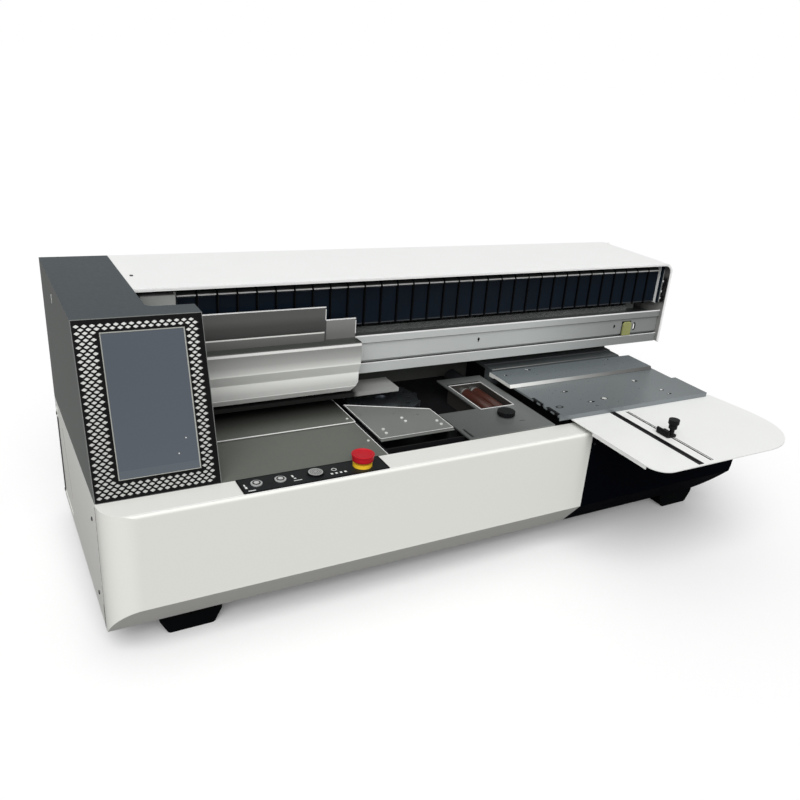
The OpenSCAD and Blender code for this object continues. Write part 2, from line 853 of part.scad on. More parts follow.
// Outline of the hood from the front: flat top, rounded right edge, end wall
module hood_outline(wall) {
  r = hood_r - wall;
  arc = [for (a = [0:10:90]) [hood_end - hood_r + r * sin(a), tower_h - hood_r + r * cos(a)]];
  polygon(concat([[neck_w + seam - wall, tower_h - wall]], arc,
    [[hood_end - wall, hood_low - wall], [neck_w + seam - wall, hood_low - wall]]));
}

module guide_beam() {
  lip_t = 6;
  groove = 6;
  w = beam_wall;
  pulley_cheek = belt_y - belt_w / 2 - 6;
  color("#a9aeaa") difference() {
    union() {
      along_x(beam_left, beam_end) difference() {
        polygon([[beam_front, beam_low], [beam_front, beam_low + 21], [beam_web + groove, beam_low + 21],
          [beam_web + groove, beam_low + 26], [beam_web, beam_low + 26], [beam_web, beam_lip - 18],
          [beam_web + groove, beam_lip - 18], [beam_web + groove, beam_lip - 16], [beam_front, beam_lip - 16],
          [beam_front, beam_lip], [beam_front + lip_t, beam_lip], [beam_front + lip_t, beam_seat],
          [beam_back, beam_seat], [beam_back, beam_low]]);
        translate([beam_web + groove + w, beam_low + w])
          square([beam_back - beam_web - groove - w * 2, beam_seat - beam_low - w * 2]);
      }
      // cheek that carries the idler pulley's pin
      span([idler_x - 14, pulley_cheek - panel_t, beam_seat - eps],
        [idler_x + 14, pulley_cheek, belt_z + 12]);
      rod_y(idler_x, belt_z, shaft_r, pulley_cheek, belt_y + belt_w / 2);
    }
    // round holes along the web
    for (x = beam_holes)
      rod_y(x, beam_web_mid, 2.2, beam_web - eps, beam_web + groove - 1);
  }
}

module linear_rail() {
  color("silver")
    span([rail_x0, rail_y - rail_w / 2, beam_seat], [rail_x1, rail_y + rail_w / 2, rail_top]);
}

module bearing_blocks() {
  color("#8b9094") for (x = [carriage_x + 23, carriage_end - 40 - block_l])
    difference() {
      span([x, rail_y - block_w / 2, beam_seat + 4], [x + block_l, rail_y + block_w / 2, plate_z]);
      span([x - eps, rail_y - rail_w / 2 - slide_gap, beam_seat],
        [x + block_l + eps, rail_y + rail_w / 2 + slide_gap, rail_top + slide_gap]);
    }
}

module carriage_plate() {
  holes = 3;
  color("#b9bdb9") difference() {
    span([carriage_x, book_y + rear_jaw_t, plate_z], [carriage_end, cover_back - 2, plate_top]);
    for (i = [0:holes - 1])
      rod_z(carriage_x + (i + 1.5) * (carriage_end - carriage_x) / (holes + 1), bellows_y - 8, 2.6,
        plate_z - eps, plate_top + eps);
  }
}

module carriage_cover() {
  y0 = book_y + rear_jaw_t;
  x1 = bellows_x - bracket_t - seam;
  z0 = plate_top;
  top = bellows_top + 2;
  color("silver") difference() {
    span([carriage_x, y0, z0], [x1, cover_back, top]);
    span([carriage_x + sheet, y0 + sheet, z0 - eps], [x1 + eps, cover_back - sheet, top - sheet]);
    belt_window(carriage_x - eps, carriage_x + sheet + eps);
    rod_y(actuator_x, actuator_z, spindle_r + 3, y0 - eps, y0 + sheet + eps);
  }
}

// Window that both runs of the belt pass
module belt_window(x0, x1) {
  span([x0, belt_y - belt_w / 2 - 2, belt_z - pulley_r - belt_t - 3],
    [x1, belt_y + belt_w / 2 + 2, belt_z + pulley_r + belt_t + 3]);
}

// Section of the bellows from the side, grown outwards from its cloth
module bellows_section(grow, low) {
  b = bellows_bevel;
  y0 = bellows_y;
  y1 = bellows_y + bellows_d;
  inner = max(grow, 0) / 2;
  polygon([[y0 - grow, low], [y0 - grow, bellows_top - b], [y0 + b - inner, bellows_top + grow],
    [y1 - b + inner, bellows_top + grow], [y1 + grow, bellows_top - b], [y1 + grow, low]]);
}

// Cloth with a rib round it at every fold
module bellows() {
  drop = 2;
  color("#15181d") union() {
    along_x(bellows_x, bellows_x1) difference() {
      bellows_section(0, bellows_z);
      bellows_section(-cloth_t, bellows_z - eps);
    }
    for (i = [1:folds - 1])
      along_x(bellows_x + i * fold_l - rib_t / 2, bellows_x + i * fold_l + rib_t / 2) difference() {
        bellows_section(rib_proud, bellows_z - drop);
        bellows_section(-cloth_t, bellows_z - drop - eps);
      }
  }
}

// End plate of the bellows on the carriage, with the clamp that grips the belt's lower run
module bellows_bracket() {
  x1 = bellows_x - touch;
  x0 = bellows_x - bracket_t;
  z0 = plate_top;
  grip_l = 34;
  low_run = belt_z - pulley_r - belt_t;
  color("#9aa09c") difference() {
    union() {
      span([x0, bellows_y - 6, z0], [x1, cover_back, bellows_top + 4]);
      span([x0 - grip_l, belt_y - belt_w / 2 - 4, z0],
        [x0, belt_y + belt_w / 2 + 1.6, low_run + belt_t + 5]);
    }
    span([x0 - eps, belt_y - belt_w / 2 - 2, z0 + 5],
      [x1 + eps, belt_y + belt_w / 2 + 2, belt_z + pulley_r + belt_t + 3]);
    span([x0 - grip_l - eps, belt_y - belt_w / 2 - touch, low_run - touch],
      [x0 + eps, belt_y + belt_w / 2 + touch, low_run + belt_t + touch]);
  }
}

module drive_belt() {
  y0 = belt_y - belt_w / 2;
  color("#202226") translate([0, y0 + belt_w, 0]) rotate([90, 0, 0]) difference() {
    linear_extrude(belt_w) belt_loop(pulley_r + belt_t);
    translate([0, 0, -eps]) linear_extrude(belt_w + 2 * eps) belt_loop(pulley_r + belt_gap);
  }
}

module belt_loop(r) {
  translate([drive_x, belt_z]) circle(r = r, $fn = 96);
  translate([idler_x, belt_z]) circle(r = r, $fn = 96);
  translate([drive_x, belt_z - r]) square([idler_x - drive_x, r * 2]);
}

// Toothed pulley round a bore, with its teeth cut as shallow grooves
module pulley(x, bore_r) {
  teeth = 20;
  y0 = belt_y - belt_w / 2 + 0.5;
  y1 = belt_y + belt_w / 2 - 0.5;
  difference() {
    rod_y(x, belt_z, pulley_r, y0, y1);
    rod_y(x, belt_z, bore_r, y0 - eps, y1 + eps);
    for (i = [0:teeth - 1])
      translate([x, 0, belt_z]) rotate([0, i * 360 / teeth, 0])
        span([pulley_r - 1.2, y0 - eps, -1.4], [pulley_r + eps, y1 + eps, 1.4]);
  }
}

module drive_pulley() {
  color("#b4b8ba") union() {
    pulley(drive_x, shaft_r - eps);
    rod_y(drive_x, belt_z, shaft_r, belt_y - belt_w / 2 + 0.5, motor_y + 12);
  }
}

module idler_pulley() {
  color("#b4b8ba") pulley(idler_x, shaft_r + fit_gap);
}

module drive_motor() {
  face = 4;
  color("#2b2e33") difference() {
    union() {
      span([drive_x - motor_w / 2, motor_y, belt_z - motor_w / 2],
        [drive_x + motor_w / 2 - 1, motor_y + motor_l, belt_z + motor_w / 2]);
      // bracket that stands on the beam
      span([drive_x - motor_w / 2, motor_y - face, beam_seat],
        [drive_x + motor_w / 2 - 1, motor_y, belt_z + motor_w / 2]);
      span([drive_x - motor_w / 2, motor_y - face, beam_seat],
        [drive_x + motor_w / 2 - 1, beam_back, beam_seat + face]);
    }
    rod_y(drive_x, belt_z, shaft_r + fit_gap, motor_y - face - eps, motor_y + 12 + slide_clear);
  }
}

module clamp_rear_jaw() {
  r = 4;
  color("#a2a39a") difference() {
    union() {
      along_y(book_y, book_y + rear_jaw_t) {
        rounded(clamp_x, clamp_end - step_l, clamp_z, clamp_z + rear_jaw_h, r);
        rounded(clamp_x, clamp_end, clamp_z, clamp_z + rear_jaw_low, r);
      }
      for (x = rod_places)
        rod_y(x, rod_z, boss_r, book_y, book_y + boss_l);
    }
    for (x = rod_places)
      rod_y(x, rod_z, rod_r + fit_gap, book_y - eps, book_y + boss_l + eps);
  }
}

// Rectangle with rounded corners, in the plane that is drawn out
module rounded(x0, x1, z0, z1, r) {
  translate([x0 + r, z0]) square([x1 - x0 - 2 * r, z1 - z0]);
  translate([x0, z0 + r]) square([x1 - x0, z1 - z0 - 2 * r]);
  for (x = [x0 + r, x1 - r], z = [z0 + r, z1 - r])
    translate([x, z]) circle(r = r);
}

module clamp_front_jaw() {
  y1 = book_y - jaw_gap;
  y0 = y1 - front_jaw_d;
  w = jaw_wall;
  arm_z = [actuator_z - 22, actuator_z + 15];
  arm_x = [carriage_x + 13, clamp_x + 8];
  color("#b3b6b0") difference() {
    union() {
      along_x(clamp_x, clamp_end) difference() {
        jaw_outline(y0, y1, 0);
        jaw_outline(y0, y1, w);
      }
      // pressing plate above the shelf
      span([clamp_x, y1 - w, shelf_z - 1], [clamp_end - step_l - 6, y1, press_z]);
      // arm to the spindle, and the spindle
      span([arm_x[0], y1 - w - 2, arm_z[0]], [arm_x[1], y1, arm_z[1]]);
      span([clamp_x, y1 - w - 2, shelf_z - 1], [arm_x[1], y1, arm_z[1]]);
      rod_y(actuator_x, actuator_z, spindle_r, y1, belt_y - belt_w / 2 - 6);
    }
    // corner cut off at the lower right
    along_y(y0 - eps, y1 + eps)
      polygon([[clamp_end - 13, clamp_z - eps], [clamp_end + eps, clamp_z - eps],
        [clamp_end + eps, clamp_z + 22]]);
    // joint line in the shelf's right end
    span([clamp_end - step_l - 6, y1 - 5, shelf_z - w - eps], [clamp_end - 4, y1 - 4, shelf_z + eps]);
  }
}

// Folded section of the front jaw from the side, set in by its wall
module jaw_outline(y0, y1, wall) {
  a = 8;
  polygon([[y1 - wall, shelf_z - wall], [y0 + wall, shelf_z - wall], [y0 + wall, shelf_z - 45 + wall / 4],
    [y0 + a + wall, shelf_z - 65 + wall / 4], [y0 + a + wall, shelf_z - 94],
    [y0 + 2 * a + wall, clamp_z + wall], [y1 - wall, clamp_z + wall]]);
}

module clamp_rods() {
  color("silver") for (x = rod_places)
    rod_y(x, rod_z, rod_r, book_y - jaw_gap, book_y - jaw_gap + rod_l);
}

module clamp_actuator() {
  y0 = book_y + rear_jaw_t + sheet + touch;
  y1 = belt_y - belt_w / 2 - 10;
  base = plate_top;
  color("#33363b") difference() {
    union() {
      rod_y(actuator_x, actuator_z, actuator_r, y0, y1);
      span([actuator_x - 16, y0 + 4, base], [actuator_x + 16, y1 - 6, actuator_z - actuator_r + 4]);
    }
    rod_y(actuator_x, actuator_z, spindle_r + fit_gap, y0 - eps, y1 + eps);
  }
}

module end_sensors() {
  color("#a9ad5c") for (x = [clamp_x + sensor_l, beam_end - sensor_set])
    span([x, beam_web - 6, beam_web_mid + 11 - sensor_h], [x + sensor_l, beam_web, beam_web_mid + 11]);
}

module left_deck() {
  t = sheet;
  rear_h = deck_h + deck_step;
  y0 = strip_d + seam;
  color("#64685f") along_x(tower_w + seam, deck_x)
    polygon([[y0, deck_h - t], [deck_lip_y, deck_h - t], [deck_lip_y, rear_h - t], [deck_back, rear_h - t],
      [deck_back, rear_h], [deck_lip_y - t, rear_h], [deck_lip_y - t, deck_h], [y0, deck_h]]);
}

module levelling_plate() {
  t = sheet;
  y1 = deck_back - 2;
  color("#c3c7c4") union() {
    span([clamp_x, level_y, level_z - t], [level_x, y1, level_z]);
    span([clamp_x, y1 - t, deck_h + deck_step], [deck_x - 2, y1, level_z - t]);
    span([clamp_x, level_y, level_z - 8], [level_x, level_y + t, level_z - t]);
  }
}

// Footprint of the milling plate, set in by an edge
module mill_plan(edge) {
  x1 = mill_x + mill_w;
  polygon([[mill_x + edge, mill_y + edge], [x1 - edge, mill_y + edge],
    [x1 - edge, mill_back_r - edge], [mill_x + edge, mill_back_l - edge * 1.5]]);
}

module mill_plate() {
  color("#8f9598") difference() {
    union() {
      along_z(mill_z - mill_t, mill_z) mill_plan(0);
      // doubled front edge
      span([mill_x, mill_y - 4, mill_z - mill_t - 1], [mill_x + mill_w, mill_y + 10, mill_z - mill_t]);
    }
    for (p = mill_dots)
      rod_z(mill_x + p[0], mill_y + p[1], 2.6, mill_z - 1.2, mill_z + eps);
  }
}

module cutter() {
  tip_l = 12;
  tip_w = 5;
  z0 = mill_z - mill_t - 2 - cutter_t;
  color("#6d7478") difference() {
    union() {
      rod_z(cutter_x, cutter_y, cutter_r - 5, z0, z0 + cutter_t);
      for (i = [0:cutter_teeth - 1])
        translate([cutter_x, cutter_y, 0]) rotate([0, 0, i * 360 / cutter_teeth])
          span([cutter_r - 5 - tip_l, -tip_w, z0], [cutter_r, tip_w, z0 + cutter_t]);
      rod_z(cutter_x, cutter_y, cutter_shaft_r * 2, z0 - 12, z0);
      rod_z(cutter_x, cutter_y, cutter_shaft_r, station_z - 30, z0);
    }
    rod_z(cutter_x, cutter_y, cutter_shaft_r * 1.6, z0 + cutter_t - 3, z0 + cutter_t + eps);
    for (i = [0:cutter_teeth - 1])
      translate([cutter_x, cutter_y, 0]) rotate([0, 0, (i + 0.5) * 360 / cutter_teeth])
        rod_z(cutter_r - 24, 0, 5, z0 - eps, z0 + cutter_t + eps);
  }
}

module mill_motor() {
  z1 = station_z;
  r = mill_motor_r;
  color("#3a3d42") difference() {
    union() {
      rod_z(cutter_x, cutter_y, r + 8, z1 - 8, z1);
      rod_z(cutter_x, cutter_y, r, z1 - mill_motor_l, z1 - 8);
    }
    rod_z(cutter_x, cutter_y, cutter_shaft_r + fit_gap, z1 - 30 - slide_clear, z1 + eps);
    for (i = [0:23])
      translate([cutter_x, cutter_y, 0]) rotate([0, 0, i * 15])
        span([r - 3, -1.5, z1 - mill_motor_l + 12], [r + eps, 1.5, z1 - 20]);
  }
}

module glue_deck() {
  x1 = glue_end - 0.5;
  c = 0.5;
  color("#6a6d66") difference() {
    along_z(deck_h, deck_h + panel_t)
      polygon([[glue_x, strip_d + seam], [x1, strip_d + seam], [x1, deck_back], [tank_x - 8, deck_back],
        [tank_x - 8, tank_y + 6], [glue_x, tank_y + 6]]);
    span([tank_x - c, tank_y - c, deck_h - eps],
      [tank_x + tank_w + c, tank_y + tank_l + gear_room + c, deck_h + panel_t + eps]);
    rod_z(glue_knob_x, glue_knob_y, journal_r + fit_gap, deck_h - eps, deck_h + panel_t + eps);
    // long slots at the left and beside the knob
    span([glue_x + 8, strip_d + 6, deck_h - eps], [glue_x + 13, strip_d + 44, deck_h + panel_t + eps]);
    span([glue_knob_x + 12, strip_d + 38, deck_h - eps],
      [glue_knob_x + 26, strip_d + 41, deck_h + panel_t + eps]);
  }
}

module glue_tank() {
  w = tank_wall;
  y1 = tank_y + tank_l;
  color("#9a9c98") difference() {
    span([tank_x, tank_y, station_top], [tank_x + tank_w, y1, tank_z]);
    span([tank_x + w, tank_y + w, station_top + w], [tank_x + tank_w - w, y1 - w, tank_z + eps]);
    for (x = roller_places)
      rod_y(x, roller_z, journal_r + fit_gap, tank_y + w - 2.5, y1 + eps);
  }
}

// A spur gear round its axis along Y, from y0 to y1
module gear(x, z, y0, y1, turn) {
  pitch_r = roller_pitch / 2;
  module_size = roller_pitch / gear_teeth;
  root_r = pitch_r - 1.15 * module_size;
  tip_r = pitch_r + 0.8 * module_size;
  half_root = 0.3 * PI * module_size;
  half_tip = 0.14 * PI * module_size;
  translate([x, y1, z]) rotate([90, 0, 0]) rotate([0, 0, turn]) linear_extrude(y1 - y0) union() {
    circle(r = root_r);
    for (i = [0:gear_teeth - 1])
      rotate(i * 360 / gear_teeth)
        polygon([[root_r - 0.5, -half_root], [tip_r, -half_tip], [tip_r, half_tip],
          [root_r - 0.5, half_root]]);
  }
}

module roller(x, turn, shaft_end) {
  w = tank_wall;
  y0 = tank_y + w;
  y1 = tank_y + tank_l - w;
  rod_y(x, roller_z, roller_r, y0 + 1, y1 - 1);
  rod_y(x, roller_z, journal_r, y0 - 2, shaft_end);
  gear(x, roller_z, y1 + w + 1, y1 + w + 8, turn);
}

module roller_left() {
  color("#c9ccca") roller(roller_places[0], 0, tank_y + tank_l + 9);
}

module roller_right() {
  color("#c9ccca") roller(roller_places[1], 180 / gear_teeth, roller_motor_y + 10);
}

module roller_motor() {
  x = roller_places[1];
  r = 17;
  l = 52;
  color("#2f3237") difference() {
    union() {
      rod_y(x, roller_z, r, roller_motor_y, roller_motor_y + l);
      span([x - r, roller_motor_y + 2, station_top], [x + r, roller_motor_y + l - 8, station_top + 7]);
    }
    rod_y(x, roller_z, journal_r + fit_gap, roller_motor_y - eps, roller_motor_y + 10 + slide_clear);
  }
}

module glue_scraper() {
  w = tank_wall;
  edge = roller_places[0] - roller_r - 0.6;
  color("#b9bcb8")
    span([edge - 7, tank_y + w, roller_z - 4], [edge, tank_y + tank_l - w, roller_z - 1]);
}

module glue_knob() {
  z0 = deck_h + panel_t + touch;
  grips = 18;
  color("#1a1b1d") difference() {
    union() {
      rod_z(glue_knob_x, glue_knob_y, glue_knob_r * 0.6, z0, z0 + 3);
      rod_z(glue_knob_x, glue_knob_y, glue_knob_r, z0 + 3, z0 + 11);
      rod_z(glue_knob_x, glue_knob_y, journal_r, deck_h - 14, z0);
    }
    for (i = [0:grips - 1])
      translate([glue_knob_x, glue_knob_y, 0]) rotate([0, 0, i * 360 / grips])
        rod_z(glue_knob_r + 1, 0, 2, z0 + 2, z0 + 12);
  }
}

module nip_table() {
  t = nip_t;
  tab_d = 99;
  color("#73787d") difference() {
    union() {
      along_z(nip_z - t, nip_z) polygon([[nip_x, nip_front], [table_x1 + tab_l, nip_front],
        [table_x1 + tab_l, nip_front + tab_d], [table_x1, nip_front + tab_d], [table_x1, nip_back],
        [nip_x, nip_back]]);
      span([nip_x, nip_front, nip_z - flange_h], [table_x1 + tab_l, nip_front + sheet, nip_z - t]);
    }
    for (p = table_slots)
      hull_slot(nip_x + p[0], p[1], p[2], p[3], nip_z - t - eps, nip_z + eps);
    for (y = [nip_front + 8:24:nip_front + 80])
      span([nip_x - eps, y, nip_z - t - eps], [nip_x + 4, y + 12, nip_z + eps]);
  }
}

// Slot along X: middle, length and radius of its ends
module hull_slot(x, y, l, r, z0, z1) {
  rod_z(x - l / 2, y, r, z0, z1);
  rod_z(x + l / 2, y, r, z0, z1);
  span([x - l / 2, y - r, z0], [x + l / 2, y + r, z1]);
}

module nip_front_jaw() {
  y1 = nip_rear_y - nip_gap;
  y0 = y1 - nip_jaw_d;
  z0 = nip_z + slide_clear;
  color("#6c7176") difference() {
    union() {
      along_x(nip_x - 13, table_x1 - 8)
        polygon([[y0, z0], [y0 + 3, nip_jaw_z], [y1, nip_jaw_z], [y1, z0 - 2], [y1 - 16, z0 - 2],
          [y1 - 16, z0]]);
      for (x = nip_rod_places)
        span([x - 10, y1 - 16, nip_rod_z - 8], [x + 10, y1 - 2, z0 - 1]);
    }
    for (x = nip_rod_places)
      rod_y(x, nip_rod_z, rod_r, y1 - 12, y1 + eps);
    rod_z(nip_x + 79, y1 - 10, 2.4, nip_jaw_z - 3, nip_jaw_z + eps);
  }
}

module nip_rods() {
  y1 = nip_rear_y - nip_gap;
  color("silver") for (x = nip_rod_places)
    rod_y(x, nip_rod_z, rod_r, y1 - 12, nip_rear_y + nip_rod_l);
}

module nip_rear_jaw() {
  y0 = nip_rear_y;
  step_y = y0 + rear_jaw_d / 3;
  end_y = y0 + rear_jaw_d;
  x0 = nip_x;
  x1 = table_x1 - 33;
  color("#6f7479") difference() {
    union() {
      span([x0, y0, nip_jaw_z - 6], [x1, step_y, nip_jaw_z]);
      span([x0, step_y, nip_jaw_z - 6], [x1, end_y, nip_jaw_z + 2]);
      span([x0, y0, nip_rod_z - 10], [x1, y0 + 30, nip_jaw_z - 6]);
    }
    for (x = nip_rod_places)
      rod_y(x, nip_rod_z, rod_r + fit_gap, y0 - eps, y0 + 30 + eps);
    for (x = [x0 + 40:90:x1 - 20])
      rod_y(x, nip_jaw_z - 3.2, 1.6, y0 - eps, y0 + 6);
  }
}

module nip_actuator() {
  y0 = nip_rear_y + 44;
  x = (nip_rod_places[0] + nip_rod_places[1]) / 2;
  r = 22;
  color("#2f3237") union() {
    rod_y(x, nip_rod_z - 30, r, y0, y0 + 80);
    span([x - r, y0 + 6, nip_rod_z - 30], [x + r, y0 + 50, nip_jaw_z - 6]);
  }
}

// Footprint of the cover tray
module tray_plan() {
  x1 = tray_x + tray_w;
  y0 = -tray_reach;
  y1 = nip_front + 8;
  a = tray_r_left;
  b = tray_r_right;
  taper_l = 100;
  left = [for (t = [0:10:90]) [tray_x + a - a * cos(t), y0 + a - a * sin(t)]];
  right = [for (t = [0:10:90]) [x1 - b + b * sin(t), y0 + b - b * cos(t)]];
  polygon(concat(left, right, [[x1, nip_front - taper_l], [x1 - 14, y1], [tray_x, y1]]));
}

module cover_tray() {
  x = tray_x + slot_mid;
  lip_drop = 8;
  color("#eef0ee") difference() {
    union() {
      along_z(tray_z - tray_t, tray_z) tray_plan();
      span([tray_x, -tray_reach + tray_r_left, tray_z - lip_drop], [tray_x + sheet, -18, tray_z - tray_t]);
      // pads that stand on the housing's top
      for (px = [cover_l + 40, table_x1 - 60])
        span([px, 8, housing_h], [px + 30, strip_d - 8, tray_z - tray_t]);
    }
    span([x - slot_w / 2, -tray_reach + 9, tray_z - tray_t - eps],
      [x + slot_w / 2, nip_front - 6, tray_z + eps]);
  }
}

module tray_rail() {
  x = tray_x + rail_mid;
  color("#17181a") difference() {
    span([x - tray_rail_w / 2, -tray_reach + 4, tray_z], [x + tray_rail_w / 2, nip_front - seam, tray_z + 1]);
    span([x - 1.5, -tray_reach + 12, tray_z + 0.4], [x + 1.5, nip_front - 6, tray_z + 1 + eps]);
  }
}

module side_guide() {
  x = tray_x + slot_mid;
  z0 = tray_z + touch;
  y = -guide_out;
  color("#1a1b1d") union() {
    span([x - 12, y - 6, z0], [x + 8, y + 26, z0 + 5]);
    span([x - 16, y - 6, z0 + 1.5], [x - 12, y + 26, z0 + 13]);
    rod_z(x, y, slot_w / 2 - touch, tray_z - tray_t - 4, z0 + 16);
    rod_z(x, y, 7, tray_z - tray_t - 6, tray_z - tray_t - touch);
  }
}

module guide_knob() {
  x = tray_x + slot_mid;
  z0 = tray_z + touch + 5 + touch;
  z1 = tray_z + knob_h;
  color("#151618") difference() {
    union() {
      rod_z(x, -guide_out, knob_r * 0.45, z0, z1 - 11);
      translate([x, -guide_out, z1 - 12]) cylinder(r1 = knob_r * 0.7, r2 = knob_r, h = 3);
      rod_z(x, -guide_out, knob_r, z1 - 9, z1);
    }
    rod_z(x, -guide_out, slot_w / 2 - touch + fit_gap, z0 - eps, z0 + 12);
  }
}

module control_plate() {
  x1 = control_x + control_l;
  color("#2c2f30") difference() {
    along_z(deck_h, deck_h + plate_h) rounded(control_x, x1, strip_d - control_w, strip_d - 0.5, 3);
    control_cuts(0);
  }
}

// Bezel rings of the two push buttons with the tubes below them
module button_bezels() {
  color("#8d9192") for (x = [button_x, button_x + button_pitch]) difference() {
    union() {
      rod_z(x, control_mid, bezel_r, control_top, control_top + 2);
      rod_z(x, control_mid, bezel_r - 1, deck_h - 18, control_top);
    }
    rod_z(x, control_mid, cap_r + 0.2, deck_h - 18 - eps, control_top + 2 + eps);
  }
}

module push_button(x) {
  difference() {
    rod_z(x, control_mid, cap_r, deck_h - 10, control_top + 3);
    rod_z(x, control_mid, cap_r - 1.5, control_top + 2.4, control_top + 3 + eps);
  }
}

module button_left() {
  color("#3b3e40") push_button(button_x);
}

module button_right() {
  color("#3b3e40") push_button(button_x + button_pitch);
}

module buzzer() {
  color("#232526") difference() {
    union() {
      rod_z(buzzer_x, control_mid, buzzer_r, control_top, control_top + 3);
      rod_z(buzzer_x, control_mid, buzzer_r - 2, deck_h - 24, control_top);
    }
    for (i = [0:7])
      translate([buzzer_x, control_mid, 0]) rotate([0, 0, i * 45])
        span([4, -0.9, control_top + 1.5], [buzzer_r - 4, 0.9, control_top + 3 + eps]);
  }
}

module stop_collar() {
  color("gold") difference() {
    union() {
      rod_z(stop_x, control_mid, collar_r, control_top, control_top + collar_h);
      rod_z(stop_x, control_mid, collar_r - 5, deck_h - 34, control_top);
    }
    rod_z(stop_x, control_mid, stem_r + fit_gap, deck_h - 34 - eps, control_top + collar_h + eps);
  }
}

module stop_stem() {
  color("#4a4d4f") union() {
    rod_z(stop_x, control_mid, stem_r, deck_h - 38, stop_head_z);
    rod_z(stop_x, control_mid, stem_r + 3, deck_h - 42, deck_h - 38);
  }
}

module stop_head() {
  skirt = 4.5;
  h = 7.8;
  r = stop_r;
  color("crimson") translate([stop_x, control_mid, stop_head_z]) rotate_extrude($fn = 96)
    polygon([[0, 0], [collar_r + 0.6, 0], [collar_r + 0.6, -skirt], [r - 2, -skirt],
      [r - 1.4, 1 - skirt], [r - 0.8, h - 3], [r, h - 1.6], [r - 0.2, h - 0.6], [r - 1.2, h],
      [r - 2.2, h], [r - 4.4, h - 1.6], [0, h - 2.2]]);
}

module power_inlet() {
  x = inlet_x;
  w = inlet_w;
  h = inlet_h;
  depth = 20;
  wall = 3;
  color("#141517") difference() {
    union() {
      span([x - w / 2, body_d - sheet, inlet_z - h / 2], [x + w / 2, body_d, inlet_z + h / 2]);
      span([x - w / 2 - 3, body_d - sheet - 2 - touch, inlet_z - h / 2 - 3],
        [x + w / 2 + 3, body_d - sheet, inlet_z + h / 2 + 3]);
      span([x - w / 2 + 2, body_d - depth, inlet_z - h / 2 + 2],
        [x + w / 2 - 2, body_d - sheet, inlet_z + h / 2 - 2]);
    }
    span([x - w / 2 + 2 + wall, body_d - depth + wall, inlet_z - h / 2 + 2 + wall],
      [x + w / 2 - 2 - wall, body_d + eps, inlet_z + h / 2 - 2 - wall]);
  }
}

module power_switch() {
  color("#1b1c1e") translate([switch_x, body_d - sheet - 6, inlet_z]) rotate([0, 90, 0])
    intersection() {
      translate([0, 0, -switch_w / 2]) cylinder(r = 9, h = switch_w);
      span([-switch_h / 2 + 2, -9, -switch_w / 2], [switch_h / 2 - 2, 7.4, switch_w / 2]);
    }
}

// Screw heads of the covers and plates: one list for each face
module screw_head(r, h) {
  difference() {
    cylinder(r = r, h = h);
    translate([0, 0, h * 0.4]) cylinder(r = r * 0.5, h = h, $fn = 6);
  }
}

module case_screws() {
  color("#6f7375") {
    for (p = mill_screws)
      translate([mill_x + p[0], mill_y + p[1], mill_z]) screw_head(3.2, 1.6);
    for (p = deck_screws)
      translate([deck_x - p[0], p[1], deck_h + p[2]]) screw_head(2.6, 1.2);
    for (p = table_screws)
      translate([nip_x + p[0], p[1], nip_z]) screw_head(p[2], 0.45);
    for (p = side_screws)
      translate([0, p[0], p[1]]) rotate([0, -90, 0]) screw_head(3.4, head_h);
    translate([neck_w + 14, hood_front + 84, tower_h]) screw_head(3, head_h);
    translate([cover_l + 8, 0, housing_h - 34]) rotate([90, 0, 0]) screw_head(2.6, 1.2);
  }
}

placed() base_pan();
placed() front_cover();
placed() left_panel();
placed() rear_panel();
placed() right_housing();
placed() feet();
placed() bulkheads();
placed() rear_column();
placed() tower_shell();
placed() tower_fascia();
placed() touch_screen();
placed() hood();
placed() guide_beam();
placed() linear_rail();
placed() bearing_blocks();
placed() carriage_plate();
placed() carriage_cover();
placed() bellows();
placed() bellows_bracket();
placed() drive_belt();
placed() drive_pulley();
placed() idler_pulley();
placed() drive_motor();
placed() clamp_rear_jaw();
placed() clamp_front_jaw();
placed() clamp_rods();
placed() clamp_actuator();
placed() end_sensors();
placed() left_deck();
placed() levelling_plate();
placed() mill_plate();
placed() cutter();
placed() mill_motor();
placed() glue_deck();
placed() glue_tank();
placed() roller_left();
placed() roller_right();
placed() roller_motor();
placed() glue_scraper();
placed() glue_knob();
placed() nip_table();
placed() nip_front_jaw();
placed() nip_rear_jaw();
placed() nip_rods();
placed() nip_actuator();
placed() cover_tray();
placed() tray_rail();
placed() side_guide();
placed() guide_knob();
placed() control_plate();
placed() button_bezels();
placed() button_left();
placed() button_right();
placed() buzzer();
placed() stop_collar();
placed() stop_stem();
placed() stop_head();
placed() power_inlet();
placed() power_switch();
placed() case_screws();
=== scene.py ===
"""Looks of the perfect binding machine: finishes, trims, bellows, marks, light and camera.

Lengths in this script are millimetres in the machine's own axes (x from the left side, y from the
front face, z from the floor); at() turns them into metres of the shared frame.
"""
import math

import bmesh
import bpy
from mathutils import Matrix, Vector


